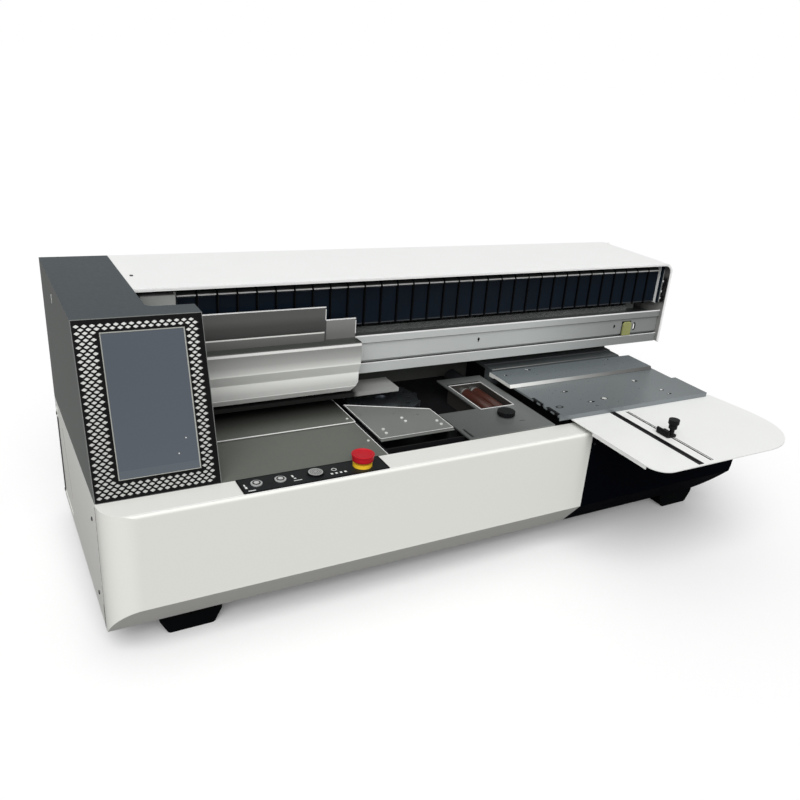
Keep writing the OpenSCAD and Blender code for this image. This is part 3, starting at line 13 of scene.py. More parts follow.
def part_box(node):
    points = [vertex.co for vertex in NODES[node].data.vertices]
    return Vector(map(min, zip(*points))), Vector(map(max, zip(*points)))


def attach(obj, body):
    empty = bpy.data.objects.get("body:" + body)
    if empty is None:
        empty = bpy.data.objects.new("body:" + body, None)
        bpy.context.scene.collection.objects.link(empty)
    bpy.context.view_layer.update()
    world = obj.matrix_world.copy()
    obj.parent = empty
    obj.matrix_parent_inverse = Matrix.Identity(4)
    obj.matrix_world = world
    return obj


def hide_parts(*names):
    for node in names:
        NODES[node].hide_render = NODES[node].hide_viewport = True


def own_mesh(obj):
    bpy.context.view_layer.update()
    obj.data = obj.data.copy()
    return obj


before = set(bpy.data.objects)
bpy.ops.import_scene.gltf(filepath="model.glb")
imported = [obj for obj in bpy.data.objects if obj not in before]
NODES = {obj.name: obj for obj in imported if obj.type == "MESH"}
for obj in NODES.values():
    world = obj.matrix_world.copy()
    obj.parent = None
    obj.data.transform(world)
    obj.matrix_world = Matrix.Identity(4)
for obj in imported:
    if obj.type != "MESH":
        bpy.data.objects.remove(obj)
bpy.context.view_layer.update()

# ---------------------------------------------------------------- places

COVER_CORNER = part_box("front_cover")[0]
ORIGIN = Vector((COVER_CORNER[0], COVER_CORNER[1], 0.0))


def at(x, y, z):
    """A point of the machine in metres of the shared frame."""
    return Vector((x, y, z)) / 1000 + ORIGIN


def local_box(node):
    """Lowest and highest corner of a node in the machine's millimetres."""
    low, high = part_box(node)
    return (Vector(low) - ORIGIN) * 1000, (Vector(high) - ORIGIN) * 1000


def middle(node):
    """Middle of a node's box in the machine's millimetres."""
    low, high = local_box(node)
    return (low + high) / 2


# Height of the decks, on which the control plate lies, and of the tower and the hood
DECK_H = local_box("control_plate")[0].z
TOWER_H = local_box("hood")[1].z
# Depth of the flat strip along the front, where the tower's sloping face starts
STRIP_D = 54.0
# How far the tower's face leans back between those two heights
TOWER_LEAN = 88.0
SLOPE = math.atan(TOWER_LEAN / (TOWER_H - DECK_H))


def on_slope(x, z, y):
    """A point of the tower's leaning front: z climbs the slope, y goes into the tower."""
    return at(x, STRIP_D + y * math.cos(SLOPE) + z * math.sin(SLOPE),
              DECK_H - y * math.sin(SLOPE) + z * math.cos(SLOPE))


# ---------------------------------------------------------------- materials

def principled(name, color, rough, metal=0.0, **inputs):
    """A material with its Principled shader, whose constant values sit on the shader itself."""
    mat = bpy.data.materials.new(name)
    mat.use_nodes = True
    shader = mat.node_tree.nodes["Principled BSDF"]
    shader.inputs["Base Color"].default_value = (*color, 1)
    shader.inputs["Roughness"].default_value = rough
    shader.inputs["Metallic"].default_value = metal
    for key, value in inputs.items():
        shader.inputs[key.replace("_", " ")].default_value = value
    return mat, mat.node_tree, shader


def object_coords(tree, stretch=(1, 1, 1)):
    """Object coordinates, stretched along the axes."""
    coords = tree.nodes.new("ShaderNodeTexCoord")
    mapping = tree.nodes.new("ShaderNodeMapping")
    mapping.inputs["Scale"].default_value = stretch
    tree.links.new(coords.outputs["Object"], mapping.inputs["Vector"])
    return mapping.outputs["Vector"]


def noise(tree, vector, scale, detail=3.0):
    """A noise's value, from about 0.3 to 0.7."""
    node = tree.nodes.new("ShaderNodeTexNoise")
    node.inputs["Scale"].default_value = scale
    node.inputs["Detail"].default_value = detail
    tree.links.new(vector, node.inputs["Vector"])
    return node.outputs["Fac"]


def mapped(tree, value, low, high, source=(0.3, 0.7)):
    """A value's own range, which is a noise's unless it is given, spread between two limits."""
    node = tree.nodes.new("ShaderNodeMapRange")
    node.inputs["From Min"].default_value = source[0]
    node.inputs["From Max"].default_value = source[1]
    node.inputs["To Min"].default_value = low
    node.inputs["To Max"].default_value = high
    tree.links.new(value, node.inputs["Value"])
    return node.outputs["Result"]


def shade(color, factor):
    """A colour made darker or lighter, with its alpha."""
    return (*(min(1.0, c * factor) for c in color), 1)


def vary_color(tree, shader, value, color, darker, lighter):
    """Base colour that a noise leads from a darker to a lighter shade."""
    node = tree.nodes.new("ShaderNodeMix")
    node.data_type = "RGBA"
    node.inputs[6].default_value = shade(color, darker)
    node.inputs[7].default_value = shade(color, lighter)
    tree.links.new(mapped(tree, value, 0, 1), node.inputs[0])
    tree.links.new(node.outputs[2], shader.inputs["Base Color"])


def vary_rough(tree, shader, value, rough, change):
    """Roughness that a noise leads up and down."""
    tree.links.new(mapped(tree, value, rough - change, rough + change), shader.inputs["Roughness"])


def bump(tree, shader, height, strength, distance):
    """Fine relief from a noise; the distance is in metres."""
    node = tree.nodes.new("ShaderNodeBump")
    node.inputs["Strength"].default_value = strength
    node.inputs["Distance"].default_value = distance
    tree.links.new(height, node.inputs["Height"])
    tree.links.new(node.outputs["Normal"], shader.inputs["Normal"])


def paint(name, color, rough=0.35, grain=900.0, depth=0.25, spread=0.04, **inputs):
    """Powder coat: a fine orange peel and a faint change of tone."""
    mat, tree, shader = principled(name, color, rough, **inputs)
    vector = object_coords(tree)
    vary_color(tree, shader, noise(tree, vector, 7.0), color, 1 - spread, 1 + spread)
    vary_rough(tree, shader, noise(tree, vector, 40.0), rough, 0.05)
    bump(tree, shader, noise(tree, vector, grain), depth, 0.0002)
    return mat


def brushed(name, color, rough=0.3, along=(1, 40, 40), spread=0.12, depth=0.12, metal=1.0,
            streaks=0.08, **inputs):
    """Brushed or drawn metal: fine lines along one direction and faint clouds of tone."""
    mat, tree, shader = principled(name, color, rough, metal, **inputs)
    lines = noise(tree, object_coords(tree, along), 60.0, 4.0)
    vary_color(tree, shader, noise(tree, object_coords(tree), 9.0), color, 1 - spread, 1 + spread)
    vary_rough(tree, shader, lines, rough, streaks)
    bump(tree, shader, lines, depth, 0.0001)
    return mat


def moulded(name, color, rough=0.45, grain=1400.0, depth=0.3, **inputs):
    """Moulded plastic or rubber with a fine spark-eroded grain."""
    mat, tree, shader = principled(name, color, rough, **inputs)
    vector = object_coords(tree)
    vary_color(tree, shader, noise(tree, vector, 20.0), color, 0.9, 1.1)
    bump(tree, shader, noise(tree, vector, grain), depth, 0.00015)
    return mat


def glossy_glass(name, color):
    """The screen's cover: a dark sheet under a glossy coat, with faint clouds of tone."""
    mat, tree, shader = principled(name, color, 0.12, Coat_Weight=0.6, Coat_Roughness=0.03)
    vary_color(tree, shader, noise(tree, object_coords(tree), 3.0, 1.0), color, 0.93, 1.07)
    return mat


def hot_glue(name, color):
    """Molten glue: glossy, with slow waves."""
    mat, tree, shader = principled(name, color, 0.18, Coat_Weight=0.5)
    vector = object_coords(tree)
    vary_color(tree, shader, noise(tree, vector, 30.0), color, 0.6, 1.3)
    bump(tree, shader, noise(tree, vector, 60.0), 0.5, 0.002)
    return mat


def tone_ramp(tree, value, stops, tint):
    """A colour ramp over an axis value, in stops of (mm, tone)."""
    low, high = stops[0][0], stops[-1][0]
    ramp = tree.nodes.new("ShaderNodeValToRGB")
    tree.links.new(value, ramp.inputs["Fac"])
    elements = ramp.color_ramp.elements
    elements.remove(elements[1])
    for k, (mm, tone) in enumerate(stops):
        place = (mm - low) / (high - low)
        element = elements[0] if k == 0 else elements.new(place)
        element.position = place
        element.color = shade(tint, tone)
    return ramp.outputs["Color"]


def top_mix(tree, color, top):
    """The colour, with another one on faces that look up."""
    geometry = tree.nodes.new("ShaderNodeNewGeometry")
    facing = tree.nodes.new("ShaderNodeSeparateXYZ")
    tree.links.new(geometry.outputs["Normal"], facing.inputs["Vector"])
    mix = tree.nodes.new("ShaderNodeMix")
    mix.data_type = "RGBA"
    mix.inputs[7].default_value = (*top, 1)
    tree.links.new(color, mix.inputs[6])
    tree.links.new(mapped(tree, facing.outputs["Z"], 0, 1, (0.75, 0.95)), mix.inputs[0])
    return mix.outputs[2]


def toned(name, stops, axis="Z", top=None, metal=0.1, rough=0.35, tint=(1.0, 1.015, 0.975), **inputs):
    """A finish whose tone follows the place along an axis; faces that look up take the colour top."""
    mat, tree, shader = principled(name, (0.5, 0.5, 0.5), rough, metal, **inputs)
    coords = tree.nodes.new("ShaderNodeTexCoord")
    split = tree.nodes.new("ShaderNodeSeparateXYZ")
    tree.links.new(coords.outputs["Object"], split.inputs["Vector"])
    shift = ORIGIN["XYZ".index(axis)]
    ends = (stops[0][0] / 1000 + shift, stops[-1][0] / 1000 + shift)
    color = tone_ramp(tree, mapped(tree, split.outputs[axis], 0, 1, ends), stops, tint)
    if top:
        color = top_mix(tree, color, top)
    tree.links.new(color, shader.inputs["Base Color"])
    lines = noise(tree, object_coords(tree, (3, 3, 60)), 60.0, 4.0)
    vary_rough(tree, shader, lines, rough, 0.03)
    bump(tree, shader, lines, 0.04, 0.0001)
    return mat


DULL = {"Specular_IOR_Level": 0.12}
SATIN = {"Specular_IOR_Level": 0.3}
SMOOTH = {"spread": 0.03, "depth": 0.01, "streaks": 0.02}
EVEN = {"spread": 0.006, "depth": 0.04}
STEEL_TINT = (0.90, 1.0, 1.04)

# Paints of the casing
# The front cover's and rear panel's faces that look up are painted darker than their sides: painted
# shade on the top strip.
WHITE = toned("white_paint", [(0, 0.885), (300, 0.885)], "Z", (0.80, 0.80, 0.765), metal=0.0,
              tint=(1.0, 1.0, 0.945))
# The left panel is painted darker towards the bottom: painted shade.
WHITE_LEFT = toned("white_left_paint", [(45, 0.86), (150, 0.91), (262, 1.0)], metal=0.0,
                   tint=(1.0, 1.0, 0.955))
WHITE_HOOD = paint("white_hood_paint", (0.91, 0.92, 0.905), 0.4, **EVEN)
WHITE_TRAY = paint("white_tray_paint", (0.89, 0.90, 0.88), 0.35, depth=0.03, spread=0.006)
# Painted highlight: near-white strips for the lit rims of the hood and the left panel and for the front
# cover's top edge.
HIGHLIGHT_WHITE = paint("white_highlight_paint", (0.98, 0.98, 0.97), 0.3, **EVEN)
# Painted shade for a shallow groove in the left panel.
GROOVE_SHADE = paint("panel_groove_shade", (0.60, 0.60, 0.57), 0.4, **EVEN)
SEAM = paint("panel_seam", (0.20, 0.18, 0.16), 0.5, depth=0.04)
BLACK_BASE = paint("black_base_paint", (0.0006, 0.001, 0.003), 0.6, depth=0.05,
                   Specular_IOR_Level=0.04)
# Black of the inner frame, also used as painted shade in gaps, holes, slots and sunk recesses.
BLACK_AND_SHADE = paint("black_inner_frame_and_shade", (0.008, 0.008, 0.009), 0.5, **DULL)
# Painted shade on the hood's inside, in bands of tone by height.
HOOD_INSIDE_SHADE = toned("hood_inside_shade", [
    (331, 0.35), (425, 0.30), (436, 0.04), (490, 0.04), (497, 0.16), (520, 0.20), (526.5, 0.10),
    (527.5, 0.008), (531, 0.008)])
# The tower's sides are painted far lighter than its top, a painted reflection of the bright surroundings
# at the grazing view; the sides get a little darker higher up.
TOWER = toned("tower_grey_paint", [(200, 0.195), (330, 0.185), (531, 0.175)], "Z",
              (0.046, 0.060, 0.067), metal=0.0, rough=0.45, tint=(0.98, 1.03, 0.99), **SATIN)
COLUMN = brushed("column_olive", (0.15, 0.16, 0.145), 0.4, metal=0.3, **SMOOTH)
MOTOR = paint("motor_enamel", (0.02, 0.021, 0.024), 0.45)

# The tower's face
FASCIA_BLACK = moulded("fascia_black", (0.003, 0.003, 0.003), 0.5, **DULL)
# The rhombs are painted lighter towards the top: painted light.
FASCIA_DIAMOND = toned("fascia_diamond", [(273, 0.48), (400, 0.58), (531, 0.72)])
SCREEN = glossy_glass("screen_cover", (0.073, 0.088, 0.108))
SCREEN_BAND = glossy_glass("screen_band", (0.083, 0.10, 0.118))
TRIM = brushed("screen_trim", (0.42, 0.43, 0.40), 0.3, metal=0.4)

# Beam and carriage. The jaws' tones stand for what their polished bends mirror.
# The beam's tone along its length is painted light and shade, and its faces that look up are painted
# dark as the bellows' shadow.
BEAM = toned("beam_aluminium", [(300, 0.60), (650, 0.70), (950, 0.60), (1200, 0.36), (1357, 0.33)],
             "X", (0.055, 0.06, 0.06), metal=0.3, rough=0.34, tint=(0.97, 1.01, 0.99))
STEEL = brushed("bright_steel", (0.62, 0.64, 0.63), 0.24, metal=0.8)
# The screws are painted by height: bright at deck height as a painted highlight, dark lower and higher.
SCREWS = toned("screw_steel", [
    (0, 0.025), (262, 0.025), (268, 0.75), (440, 0.75), (480, 0.04), (540, 0.04)], metal=0.3, rough=0.3)
ZINC = brushed("zinc_sheet", (0.46, 0.475, 0.455), 0.36, along=(4, 4, 60), metal=0.4, **SMOOTH)
JAW_FRONT = toned("front_jaw_sheet", [
    (306, 1.0), (307, 0.88), (315.5, 0.90), (316.5, 1.0), (318.6, 1.0), (319.4, 0.60), (327, 0.64),
    (340, 0.88), (347, 0.98), (349.4, 0.82), (366, 0.85), (367.4, 0.98), (371, 0.74), (384, 0.46),
    (399, 0.34), (404, 0.32), (405, 1.0), (409, 1.0), (410.5, 0.12), (428, 0.17), (429, 0.9),
    (431, 0.9)], "Z", (0.048, 0.053, 0.048))
# The rear jaw is the zinc sheet painted dark as painted shade under the hood, in bands by height; its
# step face is painted lighter towards its top.
ZINC_SHADED = toned("rear_jaw_sheet", [
    (306, 0.13), (412, 0.13), (432, 0.07), (447, 0.085), (461, 0.13), (477, 0.13)], "Z",
    (0.5, 0.5, 0.48), metal=0.2)
STEP_SHEET = toned("rear_jaw_step", [(420, 0.20), (449, 0.28)], metal=0.2)
# Painted highlight: near-white lines, bars and dots for edges, rims, screw heads and bolts that catch
# the light.
HIGHLIGHT_EDGE = brushed("painted_highlight_edge", (0.98, 0.98, 0.97), 0.25, metal=0.0)
BELT = moulded("belt_rubber", (0.012, 0.012, 0.012), 0.6)
SENSOR = moulded("sensor_green", (0.30, 0.31, 0.12), 0.35)

# Decks and stations. The left deck and the levelling plate get dark where the clamp shades them.
LEVEL = toned("levelling_steel", [
    (200, 0.012), (519, 0.012), (529, 0.30), (560, 0.40), (620, 0.46)], "X", metal=0.3)
DECK = toned("deck_olive", [
    (54, 0.135), (190, 0.128), (215, 0.11), (250, 0.05), (280, 0.015), (340, 0.008)], "Y",
    rough=0.36, tint=(1.0, 1.06, 0.92), **SATIN)
# The glue deck is painted lighter towards the nipping station: painted light.
OLIVE = toned("glue_deck_olive", [(660, 0.098), (760, 0.12), (864, 0.21)], "X", metal=0.15,
              rough=0.36, tint=(1.0, 1.06, 1.02), **SATIN)
BLUE_STEEL = toned("blue_grey_plate", [(860, 0.205), (1000, 0.215), (1150, 0.235), (1300, 0.20)],
                   "X", metal=0.25, rough=0.3, tint=STEEL_TINT)
# The rear nip plate is the table's steel painted at about half its tone: painted shade.
REAR_PLATE = toned("rear_nip_plate", [(860, 0.10), (1000, 0.105), (1150, 0.115), (1300, 0.12)],
                   "X", metal=0.25, rough=0.3, tint=STEEL_TINT)
# The front nip jaw's sides are painted bright at the left and dark at the right, a painted reflection;
# its faces that look up take a darker plain tone.
NIP_JAW = toned("front_nip_jaw_plate", [
    (860, 0.85), (940, 0.62), (1040, 0.30), (1150, 0.15), (1250, 0.10)], "X",
    (0.155, 0.178, 0.187), rough=0.3)
# A painted highlight along the front nip jaw's bevel, bright at the left and fading to the right.
BEVEL = toned("jaw_bevel", [(868, 0.40), (1000, 0.26), (1150, 0.16), (1250, 0.12)], "X")
MILL_STEEL = brushed("mill_plate_steel", (0.215, 0.225, 0.21), 0.3, along=(1, 30, 1), metal=0.3,
                     **SMOOTH)
TOOL = brushed("tool_steel", (0.20, 0.22, 0.24), 0.35)
TANK = brushed("tank_metal", (0.045, 0.042, 0.038), 0.4, metal=0.3)
GLUE = hot_glue("hot_glue", (0.16, 0.10, 0.045))
GLUE_COAT = moulded("glue_coat", (0.060, 0.020, 0.014), 0.3)

# Bellows
BELLOWS = moulded("bellows_cloth", (0.0045, 0.0085, 0.015), 0.4, grain=2200.0, **DULL)
BELLOWS_RIB = moulded("bellows_rib", (0.0012, 0.0012, 0.0015), 0.35, **DULL)
BELLOWS_TOP = moulded("bellows_top", (0.035, 0.037, 0.036), 0.4, **DULL)
# Painted highlights: a lighter rim round each fold's panel and a near-white lip along each fold's top
# front edge.
BELLOWS_RIM = moulded("bellows_rim", (0.045, 0.052, 0.058), 0.3)
BELLOWS_LIP = moulded("bellows_lip", (0.95, 0.95, 0.93), 0.3)

# Controls and small parts
RUBBER = moulded("black_rubber", (0.002, 0.0025, 0.003), 0.7, Specular_IOR_Level=0.06)
BLACK_PLASTIC = moulded("black_plastic", (0.006, 0.006, 0.007), 0.4, **DULL)
CONTROL = moulded("control_film", (0.012, 0.014, 0.015), 0.4, **DULL)
BUTTON = moulded("button_black", (0.016, 0.017, 0.017), 0.35)
BEZEL = brushed("bezel_metal", (0.60, 0.61, 0.60), 0.3, metal=0.3)
GRILLE = moulded("buzzer_grey", (0.36, 0.37, 0.36), 0.4)
STOP_YELLOW = moulded("stop_yellow", (0.90, 0.56, 0.03), 0.35)
STOP_RED = moulded("stop_red", (0.50, 0.010, 0.020), 0.35, **SATIN)
STOP_MARK = moulded("stop_mark", (0.75, 0.35, 0.35), 0.4)
MARK_WHITE = moulded("mark_white", (0.75, 0.77, 0.75), 0.5)
MARK_GREY = moulded("mark_grey", (0.55, 0.56, 0.55), 0.4)

FINISH = {
    "front_cover": WHITE, "left_panel": WHITE_LEFT, "rear_panel": WHITE, "hood": WHITE_HOOD,
    "cover_tray": WHITE_TRAY, "right_housing": BLACK_BASE, "base_pan": BLACK_BASE,
    "bulkheads": BLACK_AND_SHADE, "rear_column": COLUMN, "feet": RUBBER, "case_screws": SCREWS,
    "tower_shell": TOWER, "tower_fascia": FASCIA_BLACK, "touch_screen": SCREEN,
    "guide_beam": BEAM, "linear_rail": STEEL, "bearing_blocks": STEEL, "carriage_plate": ZINC,
    "carriage_cover": ZINC, "bellows": BELLOWS, "bellows_bracket": ZINC, "drive_belt": BELT,
    "drive_pulley": STEEL, "idler_pulley": STEEL, "drive_motor": MOTOR, "end_sensors": SENSOR,
    "clamp_rear_jaw": ZINC_SHADED, "clamp_front_jaw": JAW_FRONT, "clamp_rods": STEEL,
    "clamp_actuator": MOTOR, "left_deck": DECK, "levelling_plate": LEVEL, "mill_plate": MILL_STEEL,
    "cutter": TOOL, "mill_motor": MOTOR, "glue_deck": OLIVE, "glue_tank": TANK,
    "roller_left": STEEL, "roller_right": STEEL, "roller_motor": MOTOR, "glue_scraper": STEEL,
    "glue_knob": BLACK_PLASTIC, "nip_table": BLUE_STEEL, "nip_front_jaw": NIP_JAW,
    "nip_rear_jaw": REAR_PLATE, "nip_rods": STEEL, "nip_actuator": MOTOR,
    "tray_rail": BLACK_PLASTIC, "side_guide": BLACK_PLASTIC, "guide_knob": BLACK_PLASTIC,
    "control_plate": CONTROL, "button_bezels": BEZEL, "button_left": BUTTON,
    "button_right": BUTTON, "buzzer": BLACK_PLASTIC, "stop_collar": STOP_YELLOW,
    "stop_stem": BEZEL, "stop_head": STOP_RED, "power_inlet": BLACK_PLASTIC,
    "power_switch": BLACK_PLASTIC,
}

# Softened edges, in millimetres, of the pieces that show
EDGE = {
    "front_cover": 0.5, "left_panel": 0.5, "hood": 0.7, "cover_tray": 0.6, "right_housing": 0.6,
    "tower_shell": 1.2, "guide_beam": 0.5, "carriage_plate": 0.5, "carriage_cover": 0.7,
    "bellows_bracket": 0.5, "clamp_rear_jaw": 0.4, "clamp_front_jaw": 0.8, "left_deck": 0.5,
    "levelling_plate": 0.4, "mill_plate": 0.5, "glue_deck": 0.5, "glue_tank": 0.6,
    "nip_table": 0.5, "nip_front_jaw": 0.5, "nip_rear_jaw": 0.5, "touch_screen": 0.5,
    "side_guide": 0.6, "control_plate": 0.3, "feet": 1.5,
}


def soften(obj, width):
    """Rounds an object's sharp edges by a modifier, so that they catch the light."""
    bevel = obj.modifiers.new("edges", "BEVEL")
    bevel.width = width / 1000
    bevel.segments = 2
    bevel.limit_method = "ANGLE"
    bevel.angle_limit = math.radians(35)
    bevel.harden_normals = False


for node, mat in FINISH.items():
    for material_slot in NODES[node].material_slots:
        material_slot.material = mat
for node, width in EDGE.items():
    soften(NODES[node], width)

# ---------------------------------------------------------------- mesh helpers

def piece(name, bm, mats, body="machine", smooth=None):
    """A finished mesh object that rides on a body; smooth is the angle up to which faces blend."""
    bmesh.ops.recalc_face_normals(bm, faces=bm.faces)
    mesh = bpy.data.meshes.new(name)
    bm.to_mesh(mesh)
    bm.free()
    obj = bpy.data.objects.new(name, mesh)
    bpy.context.scene.collection.objects.link(obj)
    for mat in (mats if isinstance(mats, list) else [mats]):
        mesh.materials.append(mat)
    if smooth is not None:
        for poly in mesh.polygons:
            poly.use_smooth = True
        mesh.set_sharp_from_angle(angle=math.radians(smooth))
    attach(obj, body)
    return obj


def bridge(bm, ring_a, ring_b):
    """Faces between two rings of as many vertices."""
    n = len(ring_a)
    return [bm.faces.new((ring_a[i], ring_b[i], ring_b[(i + 1) % n], ring_a[(i + 1) % n]))
            for i in range(n)]


def prism(bm, points_a, points_b, material_index=0):
    """A closed solid between two rings of points."""
    a = [bm.verts.new(p) for p in points_a]
    b = [bm.verts.new(p) for p in points_b]
    for face in (bm.faces.new(a), bm.faces.new(b[::-1]), *bridge(bm, a, b)):
        face.material_index = material_index


def solid_x(bm, outline, x0, x1, material_index=0):
    """A solid along X from an outline of (y, z) points."""
    prism(bm, [at(x0, y, z) for y, z in outline], [at(x1, y, z) for y, z in outline], material_index)


def solid_y(bm, outline, y0, y1):
    """A solid along Y from an outline of (x, z) points."""
    prism(bm, [at(x, y0, z) for x, z in outline], [at(x, y1, z) for x, z in outline])


def solid_z(bm, outline, z0, z1, place=at):
    """An upright solid from an outline of (x, y) points."""
    prism(bm, [place(x, y, z0) for x, y in outline], [place(x, y, z1) for x, y in outline])


def block(bm, low, high, place=at, material_index=0):
    """A box between two corners."""
    (x0, y0, z0), (x1, y1, z1) = low, high
    foot = [place(x0, y0, z0), place(x1, y0, z0), place(x1, y1, z0), place(x0, y1, z0)]
    head = [place(x0, y0, z1), place(x1, y0, z1), place(x1, y1, z1), place(x0, y1, z1)]
    prism(bm, foot, head, material_index)


def blocks(name, boxes, mat, body="machine", place=at):
    """One piece of several boxes, each given by its two corners."""
    bm = bmesh.new()
    for low, high in boxes:
        block(bm, low, high, place)
    return piece(name, bm, mat, body)


def border_boxes(outer, inner, z0, z1):
    """Four boxes that leave the inner rectangle free in the outer one, each as (x0, x1, y0, y1)."""
    left, right, front, back = outer
    x0, x1, y0, y1 = inner
    return [((left, front, z0), (x0, back, z1)), ((x1, front, z0), (right, back, z1)),
            ((x0, front, z0), (x1, y0, z1)), ((x0, y1, z0), (x1, back, z1))]


def oval(cx, cy, rx, ry, count):
    """Points of an oval about a centre."""
    turns = [2 * math.pi * i / count for i in range(count)]
    return [(cx + rx * math.cos(t), cy + ry * math.sin(t)) for t in turns]


def lathe(bm, cx, cy, profile, count):
    """Rings of vertices about an upright axis for a profile of (radius, height), joined in turn."""
    rings = [[bm.verts.new(at(x, y, z)) for x, y in oval(cx, cy, r, r, count)] for r, z in profile]
    for lower, upper in zip(rings, rings[1:]):
        bridge(bm, lower, upper)
    return rings


# ---------------------------------------------------------------- bellows

# Ends and section of the cloth, without the ribs
BELLOWS_X = tuple(corner.x for corner in local_box("bellows"))
BELLOWS_Y = (315.0, 401.0)
BELLOWS_Z = (430.0, 513.0)
FOLDS = 32
CLOTH_T = 1.6
CHAMFER = 6.0


def bellows_tube(bm):
    """The dark cloth behind the folds: front, top and rear wall."""
    (y0, y1), (z0, z1) = BELLOWS_Y, BELLOWS_Z
    c, t = CHAMFER, CLOTH_T
    inner = c + 0.7
    solid_x(bm, [
        (y0, z0), (y0, z1 - c), (y0 + c, z1), (y1 - c, z1), (y1, z1 - c), (y1, z0), (y1 - t, z0),
        (y1 - t, z1 - inner), (y1 - inner, z1 - t), (y0 + inner, z1 - t), (y0 + t, z1 - inner),
        (y0 + t, z0)], *BELLOWS_X)


def bellows_rib(bm, x):
    """The rib between two folds, which stands out of the cloth and hangs below it."""
    (y0, y1), (z0, z1) = BELLOWS_Y, BELLOWS_Z
    half_t, front, back, rise, hang = 1.5, 4.0, 3.4, 3.2, 2.5
    solid_x(bm, [
        (y0 + 1, z0 - hang), (y0 - front, z0 - hang), (y0 - front, z1 - 7), (y0 - 2.5, z1 - 2),
        (y0 + 1, z1 + 2), (y0 + 6, z1 + rise), (y1 - 4, z1 + rise), (y1 + back, z1 - 5),
        (y1 + back, z0 - hang), (y1 - 1, z0 - hang), (y1 - 1, z1 - 7), (y1 - 7, z1 - 1),
        (y0 + 7, z1 - 1), (y0 + 1, z1 - 7)], x - half_t, x + half_t, 1)


def bellows_fold(bm, x0, x1):
    """One fold: stiff front panel with a rim of painted highlight, and a stiff top strip with a painted
    highlight along its front lip.
    """
    (y0, y1), (z0, z1) = BELLOWS_Y, BELLOWS_Z
    panel_in, rim_in, strip_in = 2.8, 2.1, 1.9
    panel_top, back = z1 - 9, y0 + 0.5
    block(bm, (x0 + panel_in, y0 - 1.3, z0 + 3), (x1 - panel_in, back, panel_top))
    for low, high in (((x0 + rim_in, y0 - 1.5, z0 + 1.8), (x0 + panel_in, back, panel_top)),
                      ((x0 + rim_in, y0 - 1.7, z0 + 0.8), (x1 - 2.4, back, z0 + 2.6)),
                      ((x0 + 2.4, y0 - 1.6, panel_top), (x1 - 2.4, back, panel_top + 0.7))):
        block(bm, low, high, material_index=3)
    solid_x(bm, [
        (y0 - 2.6, z1 - 3.6), (y0 - 0.8, z1 - 0.8), (y0 + 2.2, z1 + 1.4), (y1 - 5, z1 + 1.4),
        (y1 - 5, z1 - 1.5), (y0 + 2.6, z1 - 1.5)], x0 + strip_in, x1 - strip_in, 2)
    solid_x(bm, [
        (y0 - 2.4, z1 - 6.6), (y0 - 3.2, z1 - 6.2), (y0 - 3.2, z1 - 4.4), (y0 - 2.4, z1 - 3.9),
        (y0 + 1.2, z1 - 3.4), (y0 + 1.2, z1 - 6.0)], x0 + strip_in, x1 - strip_in, 4)


def make_bellows():
    """The bellows with its folds, in place of the plain solid."""
    bm = bmesh.new()
    bellows_tube(bm)
    x0, x1 = BELLOWS_X
    pitch = (x1 - x0) / FOLDS
    for i in range(FOLDS):
        bellows_fold(bm, x0 + i * pitch, x0 + (i + 1) * pitch)
        if i:
            bellows_rib(bm, x0 + i * pitch)
    obj = piece("bellows_folds", bm, [BELLOWS, BELLOWS_RIB, BELLOWS_TOP, BELLOWS_RIM, BELLOWS_LIP])
    obj.modifiers.new("edges", "BEVEL").width = 0.0003
    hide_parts("bellows")
    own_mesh(obj)


# ---------------------------------------------------------------- tower

# On the sloping face: the screen, the mesh with its rhombs, and the black border round it
SCREEN_X = (39.0, 158.0)
SCREEN_Z = (31.0, 250.0)
FASCIA_X = (5.2, 183.8)
FASCIA_Z = (6.0, 266.6)
BORDER_OUTER = (1.2, 187.8, 1.0, 271.4)
BORDER_INNER = (5.4, 183.6, 6.2, 266.4)
DIAMOND_PITCH = (10.9, 10.2)
SCREEN_FACE = -1.15


def diamond(bm, x, z, half_w, half_h):
    """A low rhomb with blunt corners on the fascia."""
    reach, blunt = 0.95, 0.14
    outline = []
    for a, b in ((1, 0), (0, 1), (-1, 0), (0, -1)):
        for side in (blunt, -blunt):
            outline.append((x + (a * reach + b * side) * half_w, z + (b * reach - a * side) * half_h))
    solid_z(bm, outline, 0.1, -0.35, on_slope)


def make_diamonds():
    """The mesh of rhombs in staggered rows round the screen."""
    bm = bmesh.new()
    step_x, step_z = DIAMOND_PITCH
    half_w, half_h = step_x * 0.36, step_z * 0.235
    clear = 2.5
    near_x, near_z = clear + half_w * 0.6, clear + half_h * 0.6
    rows = int((FASCIA_Z[1] - FASCIA_Z[0]) / step_z * 2) + 1
    for row in range(rows):
        z = FASCIA_Z[0] + 1.5 + row * step_z / 2
        x = FASCIA_X[0] + clear + (row % 2) * step_x / 2
        while x < FASCIA_X[1] - 2:
            beside = SCREEN_X[0] - near_x < x < SCREEN_X[1] + near_x
            level = SCREEN_Z[0] - near_z < z < SCREEN_Z[1] + near_z
            if z < FASCIA_Z[1] - 1.5 and not (beside and level):
                diamond(bm, x, z, half_w, half_h)
            x += step_x
    piece("fascia_diamonds", bm, FASCIA_DIAMOND)


def make_fascia_border():
    """Black border of the mesh, over the tower's sloping rim."""
    blocks("fascia_border", border_boxes(BORDER_OUTER, BORDER_INNER, -0.3, 0.2), FASCIA_BLACK,
           place=on_slope)


